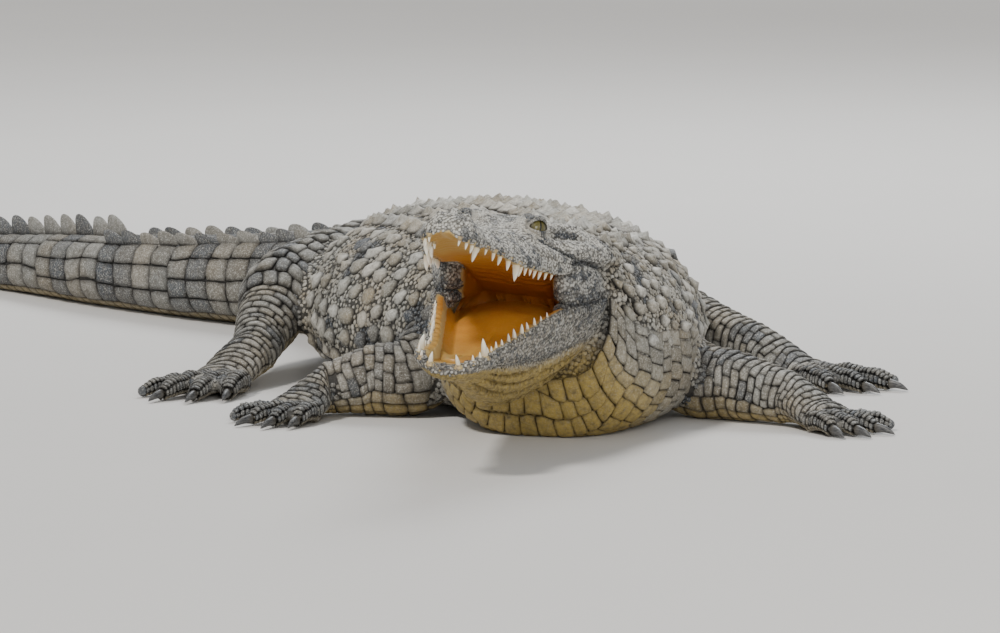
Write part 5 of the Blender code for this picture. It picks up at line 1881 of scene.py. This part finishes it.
def field_for_toe(toe):
    """Bands over a toe, each lapping the next, with small scales at its sides."""
    rows = even_rows(0.004, toe.length - 0.007, 0.007)
    return np.vstack((
        field(toe, rows, -0.3, 0.3, 1.0, 0.002, square=5.0, jitter=0.12, gap=1.0, tilt=0.42, sides=(1,), seed=71,
              columns=1),
        field(toe, rows, 0.31, 0.62, 1.0, 0.002, square=3.6, jitter=0.16, gap=0.96, tilt=0.3, seed=72, columns=1),
        field(toe, rows, 0.63, 0.98, 1.0, 0.0016, square=3.0, jitter=0.16, gap=0.94, seed=73, columns=1)))


# ---- What a user can change ----


def length_property(name, description, default):
    return bpy.props.FloatProperty(name=name, description=description, default=default, min=0.0002, max=0.2,
                                   precision=4, subtype="DISTANCE", unit="LENGTH")


def colour_property(name, description, default):
    return bpy.props.FloatVectorProperty(name=name, description=description, default=default, size=3, min=0.0,
                                         max=1.0, subtype="COLOR")


class CrocSizes(bpy.types.PropertyGroup):
    """Sizes of the skin and the coat."""

    trunk_coat: length_property("Trunk coat", "How far the skin lies inside the trunk's solids", 0.005)
    limb_coat: length_property("Limb coat", "How far the skin lies inside the limbs' solids", 0.0028)
    head_coat: length_property("Head coat", "How far the skin lies inside the head's solids", 0.0012)
    body_voxel: length_property("Body mesh", "Size of the faces of the skin on the body", 0.0112)
    head_voxel: length_property("Head mesh", "Size of the faces of the skin on the head", 0.0029)
    scute_row: length_property("Scute rows", "Distance between the rows of scutes on the back", 0.05)
    head_grain: length_property("Head grains", "Distance between the grains on the head", 0.004)
    neck_grain: length_property("Neck grains", "Distance between the grains on the neck and flanks", 0.0066)


class CrocColours(bpy.types.PropertyGroup):
    """Colours of the hide, the mouth, the eyes and the stage."""

    hide: colour_property("Hide", "Grey of the hide", (0.295, 0.285, 0.240))
    hide_warm: colour_property("Warm hide", "Tan patches of the hide", (0.345, 0.280, 0.175))
    hide_light: colour_property("Light hide", "Palest scales", (0.840, 0.825, 0.760))
    slate: colour_property("Slate", "Dark blotches", (0.050, 0.062, 0.078))
    # The yellow of the underside, made darker to match the chest in the head's shadow: partly painted shade.
    belly: colour_property("Belly", "Underside, throat and chest", (0.385, 0.275, 0.070))
    grime: colour_property("Grime", "Dirt in the hollows", (0.085, 0.072, 0.052))
    worn: colour_property("Worn tops", "Scuffed tops of the scales", (0.800, 0.785, 0.730))
    # Near-black of the gaps between the scales: their dark joints with painted shade in them.
    crack: colour_property("Cracks", "Gaps between the scales", (0.012, 0.010, 0.008))
    mouth: colour_property("Mouth", "Lining of the mouth", (0.660, 0.310, 0.050))
    mouth_deep: colour_property("Deep mouth", "Darker parts of the lining", (0.450, 0.145, 0.020))
    mouth_light: colour_property("Light mouth", "Front of the lining", (0.480, 0.300, 0.085))
    gum: colour_property("Gum", "Collars round the teeth", (0.540, 0.400, 0.170))
    gum_dark: colour_property("Dark gum", "Darker parts of the gums", (0.200, 0.150, 0.100))
    tooth: colour_property("Tooth", "Points of the teeth", (0.820, 0.780, 0.660))
    tooth_root: colour_property("Tooth root", "Teeth near the gum", (0.620, 0.500, 0.290))
    tooth_stain: colour_property("Tooth stain", "Streaks on the teeth", (0.360, 0.270, 0.150))
    iris: colour_property("Iris", "Iris of the eye", (0.150, 0.128, 0.028))
    iris_dark: colour_property("Dark iris", "Flecks of the iris", (0.048, 0.041, 0.012))
    eye_rim: colour_property("Eye rim", "Edge of the eyeball", (0.030, 0.026, 0.016))
    claw: colour_property("Claw", "Horn of the claws", (0.030, 0.031, 0.034))
    claw_light: colour_property("Light claw", "Pale streaks of the claws", (0.130, 0.128, 0.122))
    floor: colour_property("Floor", "Floor of the studio", (0.680, 0.665, 0.640))


# ---- Operators, one for each piece or group of like pieces ----


def bare_places(points, normals):
    """1 where no scale lies over a point of the skin."""
    bare = np.ones(len(points))
    points = points + 0.006 * normals
    for obj in bpy.data.objects:
        if obj.name.endswith(("_scales", "_scutes", "_tiles", "_cones")):
            tree = tree_of(obj)
            box = np.array(obj.bound_box)
            near = np.all((points > box.min(0) - 0.02) & (points < box.max(0) + 0.02), axis=1)
            for i in np.flatnonzero(near & (bare > 0)):
                if tree.find_nearest(Vector(points[i]), 0.0068)[0] is not None:
                    bare[i] = 0.0
    return bare


def skin_object():
    skin = bpy.data.objects.get("skin")
    if skin is None:
        raise RuntimeError("the skin comes first")
    return skin


class CROC_OT_skin(bpy.types.Operator):
    """One closed skin over the whole body, with lids round the eyes"""

    bl_idname = "croc.skin"
    bl_label = "Skin"

    def execute(self, context):
        skin = build_skin(context.scene.croc_sizes)
        mark_skin(skin)
        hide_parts(*FLESH)
        ride(skin, "scaly_hide")
        return {"FINISHED"}


class CROC_OT_eyes(bpy.types.Operator):
    """Two eyeballs with slit pupils"""

    bl_idname = "croc.eyes"
    bl_label = "Eyes"

    def execute(self, context):
        for side, label in SIDES.items():
            eye = build_eye(side, label)
            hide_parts("eye_" + label)
            ride(eye, "wet_eye")
        return {"FINISHED"}


class CROC_OT_teeth(bpy.types.Operator):
    """The teeth of both jaws, with a collar of gum round each"""

    bl_idname = "croc.teeth"
    bl_label = "Teeth"

    def execute(self, context):
        for table, teeth, axes, down, name in ((SKULL, UPPER_TEETH, SKULL_AXES, -1, "upper_teeth"),
                                               (JAW, LOWER_TEETH, JAW_AXES, 1, "lower_teeth")):
            made, gums = build_teeth(table, teeth, axes, down, name)
            ride(made, "tooth_enamel")
            ride(gums, "gum_flesh")
        return {"FINISHED"}


class CROC_OT_tongue(bpy.types.Operator):
    """The tongue and the fold at the back of the mouth"""

    bl_idname = "croc.tongue"
    bl_label = "Tongue"

    def execute(self, context):
        tongue = build_tongue()
        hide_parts("tongue")
        ride(tongue, "wet_mouth")
        return {"FINISHED"}


class CROC_OT_claws(bpy.types.Operator):
    """Three claws on each foot"""

    bl_idname = "croc.claws"
    bl_label = "Claws"

    def execute(self, context):
        claws = build_claws()
        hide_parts(*[name for name in frame["nodes"] if "claw" in name])
        ride(claws, "claw_horn")
        return {"FINISHED"}


class CROC_OT_back(bpy.types.Operator):
    """Keeled scutes down the neck and back"""

    bl_idname = "croc.back"
    bl_label = "Back scutes"

    def execute(self, context):
        coat_body("back_scutes", field_for_trunk(context.scene.croc_sizes), sides=16,
                  radii=(0.3, 0.58, 0.8, 0.94, 1.0), rough=0.3, warp=(0.06, 0.014), crack_from=0.55, tone=0.9)
        return {"FINISHED"}


class CROC_OT_flanks(bpy.types.Operator):
    """Ovals and beads on the flanks"""

    bl_idname = "croc.flanks"
    bl_label = "Flank scales"

    def execute(self, context):
        coat_body("flank_scales", field_for_flanks(context.scene.croc_sizes), sides=14,
                  radii=(0.45, 0.78, 0.95, 1.0), swell=2.2, warp=(0.06, 0.018), tone=0.8)
        return {"FINISHED"}


class CROC_OT_belly(bpy.types.Operator):
    """Tiles of the belly, throat and chest"""

    bl_idname = "croc.belly"
    bl_label = "Belly tiles"

    def execute(self, context):
        coat_body("belly_tiles", field_for_belly(), sides=16, radii=(0.7, 0.94, 1.0), swell=8.0,
                  warp=(0.045, 0.02), crack_from=0.86, tone=0.3)
        return {"FINISHED"}


class CROC_OT_neck(bpy.types.Operator):
    """Cones on the neck"""

    bl_idname = "croc.neck"
    bl_label = "Neck cones"

    def execute(self, context):
        coat_body("neck_cones", field_for_neck(), radii=(0.35, 0.65, 0.9, 1.0), swell=1.6)
        return {"FINISHED"}


class CROC_OT_tail(bpy.types.Operator):
    """Whorls of scales round the tail, and its crests"""

    bl_idname = "croc.tail"
    bl_label = "Tail scales"

    def execute(self, context):
        coat_body("tail_scales", field_for_tail(), sides=16, radii=(0.6, 0.93, 1.0), swell=7.0, warp=(0.07, 0.012),
                  crack_from=0.78, tone=0.4)
        coat_piece(build_crest(context.scene.croc_sizes.trunk_coat))
        return {"FINISHED"}


class CROC_OT_limbs(bpy.types.Operator):
    """Plates on the limbs and bands on the toes"""

    bl_idname = "croc.limbs"
    bl_label = "Limb scales"

    def execute(self, context):
        sizes = context.scene.croc_sizes
        tree = tree_of(skin_object())
        for number, (name, tube) in enumerate(TUBES.items()):
            parts = [build_scales(name, tube, field_for_limb(tube, name.startswith("arm")), sizes.limb_coat,
                                  limb_marker, limb_atlas(number), tree, sides=16, radii=(0.6, 0.94, 1.0), swell=8.0,
                                  outside_by=0.004, warp=(0.035, 0.014), crack_from=0.74, tone=0.5)]
            inset = sizes.limb_coat * 0.6
            for toe in tube.toes:
                atlas = limb_atlas(number, toe.number)
                parts.append(build_scales("toe", toe, field_for_toe(toe), inset, toe_marker, atlas, tree, sides=10,
                                          radii=(0.6, 0.92, 1.0), root_depth=0.0008, outside_by=0.002, swell=6.0,
                                          crack_from=0.72, tone=0.4))
            parts += [build_toe_tip(toe, inset, limb_atlas(number, toe.number)) for toe in tube.toes[3:]]
            coat_piece(join_pieces(name + "_scales", parts))
        return {"FINISHED"}


class CROC_OT_head_grains(bpy.types.Operator):
    """Fine grains over the head"""

    bl_idname = "croc.head_grains"
    bl_label = "Head grains"

    def execute(self, context):
        sizes = context.scene.croc_sizes
        skin = skin_object()
        points = read_points(skin)
        head, mouth, pale = (read_values(skin, name) for name in ("head", "mouth", "pale"))
        upper = is_upper(points)
        near_eye = eye_gap(points)
        cover = fade(head, 0.35, 0.8) * (1 - fade(mouth, 0.15, 0.5)) * (near_eye > 0.0185) * (nostrils(points) < 0.45)
        jx = to_local(points, JAW_AXES)[:, 0]
        back = until(jx, 0.08, 0.16)
        far, snout = near_eye > 0.031, to_local(points, SKULL_AXES)[:, 0] > 0.235
        for name, part, space, high, seed, own, tone, share in (
                ("eye_grains", near_eye < 0.033, 0.6, 0.34, 4, 1.0, (0.5, 1.6), 0.9),
                ("snout_grains", upper & snout, 0.86, 0.34, 3, 1.0, (0.6, 1.8), 0.85),
                ("head_grains", upper & far & ~snout, 0.92, 0.34, 5, 1.0, (0.7, 2.0), 0.85),
                ("jaw_grains", ~upper & (pale < 0.5), 0.95, 0.34, 6, 1.0, (0.1, 1.0), 1.0),
                ("throat_grains", ~upper & (pale >= 0.35), 1.3, 0.1, 8, 1.0 + 0.7 * back, (0.12, 0.48), 0.4)):
            coat_piece(build_grains(name, skin, cover * part, sizes.head_grain * space * 1.62,
                                    sizes.head_grain * space, high, seed, own, tone, share, share > 0.5))
        return {"FINISHED"}


class CROC_OT_body_grains(bpy.types.Operator):
    """Grains between the scales of the neck and the flanks"""

    bl_idname = "croc.body_grains"
    bl_label = "Body grains"

    def execute(self, context):
        sizes = context.scene.croc_sizes
        skin = skin_object()
        points = read_points(skin)
        head, limb = read_values(skin, "head"), read_values(skin, "limb")
        s, v = body_place(points)
        side = np.abs(v)
        neck = (s < 0.3) * until(side, 0.5, 0.56)
        flank = (s >= 0.27) * (s < TAIL_START) * within(side, 0.2, 0.26, 0.6, 0.66)
        clear = 1 - fade(head, 0.6, 0.95)
        bare, edges = bare_places(points, read_normals(skin)), edges_of(skin)
        spread = bare
        for _ in range(2):
            bare, spread = spread, spread.copy()
            for a, b in ((0, 1), (1, 0)):
                np.maximum.at(spread, edges[:, a], bare[edges[:, b]])
        ahead = ahead_of_joint(points)
        front = fade(ahead, -0.05, -0.035) * (joint_gap(points) < 0.32)
        cover = np.maximum(np.clip(np.maximum(neck, flank), 0, 1) * (limb < 0.5), np.maximum(spread, front)) * clear
        for name, part, seed, tone, close in (("neck_grains", s < 0.3, 7, (0.0, 0.75), 0.84),
                                              ("flank_grains", s >= 0.29, 9, (0.0, 0.55), 1.0)):
            coat_piece(build_grains(name, skin, cover * part, sizes.neck_grain * 1.5, sizes.neck_grain * close, 0.46,
                                    seed, 1.0, tone, 0.9))
        return {"FINISHED"}


class CROC_OT_stage(bpy.types.Operator):
    """A pale floor, soft lights and the camera"""

    bl_idname = "croc.stage"
    bl_label = "Stage"

    def execute(self, context):
        scene = context.scene
        size = 40.0
        floor = make_mesh("floor", np.array([(-size, -size, 0), (size, -size, 0), (size, size, 0), (-size, size, 0)])
                          + (0, 0, -0.0004), [[0, 1, 2, 3]])
        floor.data.materials.append(material("studio_floor"))
        world = scene.world or bpy.data.worlds.new("studio")
        scene.world = world
        world.use_nodes = True
        back = world.node_tree.nodes.get("Background") or world.node_tree.nodes.new("ShaderNodeBackground")
        back.inputs["Color"].default_value = (0.86, 0.89, 0.93, 1.0)
        back.inputs["Strength"].default_value = 0.45
        for name, kind, place, width, power, colour in (
                ("sun", "SUN", (-2.4, -3.6, 5.2), radians(9.0), 2.1, (1.0, 0.965, 0.92)),
                ("front", "AREA", (1.2, -6.5, 2.2), 2.5, 130.0, (1.0, 0.985, 0.96)),
                ("back", "AREA", (1.4, 3.6, 4.0), 2.6, 200.0, (0.94, 0.97, 1.0)),
                ("fill", "AREA", (3.6, -3.6, 1.6), 3.0, 30.0, (1.0, 0.98, 0.95))):
            light = bpy.data.lights.new(name, kind)
            light.energy, light.color = power, colour
            if kind == "SUN":
                light.angle = width
            else:
                light.shape, light.size = "DISK", width
            lamp = bpy.data.objects.new(name, light)
            lamp.location = place
            aim = Vector((0.25, -0.6, 0.1)) - Vector(place)
            lamp.rotation_euler = aim.to_track_quat("-Z", "Y").to_euler()
            scene.collection.objects.link(lamp)
        lens = bpy.data.cameras.new("camera")
        lens.sensor_width, lens.lens = 36.0, 226.8
        lens.clip_end = 200.0
        camera = bpy.data.objects.new("camera", lens)
        camera.location = Vector((0.0, -8.912, 1.2526)) + Vector(SHIFT)
        camera.rotation_euler = (radians(90 - 6.95), 0.0, 0.0)
        scene.collection.objects.link(camera)
        scene.camera = camera
        return {"FINISHED"}


PIECES = (CROC_OT_skin, CROC_OT_eyes, CROC_OT_teeth, CROC_OT_tongue, CROC_OT_claws, CROC_OT_back, CROC_OT_flanks,
          CROC_OT_belly, CROC_OT_neck, CROC_OT_tail, CROC_OT_limbs, CROC_OT_head_grains, CROC_OT_body_grains,
          CROC_OT_stage)


class CROC_PT_panel(bpy.types.Panel):
    """Lists the pieces and what can be changed"""

    bl_idname = "CROC_PT_panel"
    bl_label = "Crocodile"
    bl_space_type = "VIEW_3D"
    bl_region_type = "UI"
    bl_category = "Crocodile"

    def draw(self, context):
        for group in (context.scene.croc_sizes, context.scene.croc_colours):
            box = self.layout.box()
            for name in group.__annotations__:
                box.prop(group, name)
        for piece in PIECES:
            self.layout.operator(piece.bl_idname)


CLASSES = (CrocSizes, CrocColours, *PIECES, CROC_PT_panel)


def register():
    for kind in CLASSES:
        bpy.utils.register_class(kind)
    bpy.types.Scene.croc_sizes = bpy.props.PointerProperty(type=CrocSizes)
    bpy.types.Scene.croc_colours = bpy.props.PointerProperty(type=CrocColours)


def unregister():
    del bpy.types.Scene.croc_sizes
    del bpy.types.Scene.croc_colours
    for kind in reversed(CLASSES):
        bpy.utils.unregister_class(kind)


def main():
    register()
    for piece in PIECES:
        group, name = piece.bl_idname.split(".")
        getattr(getattr(bpy.ops, group), name)()


if __name__ == "__main__":
    main()
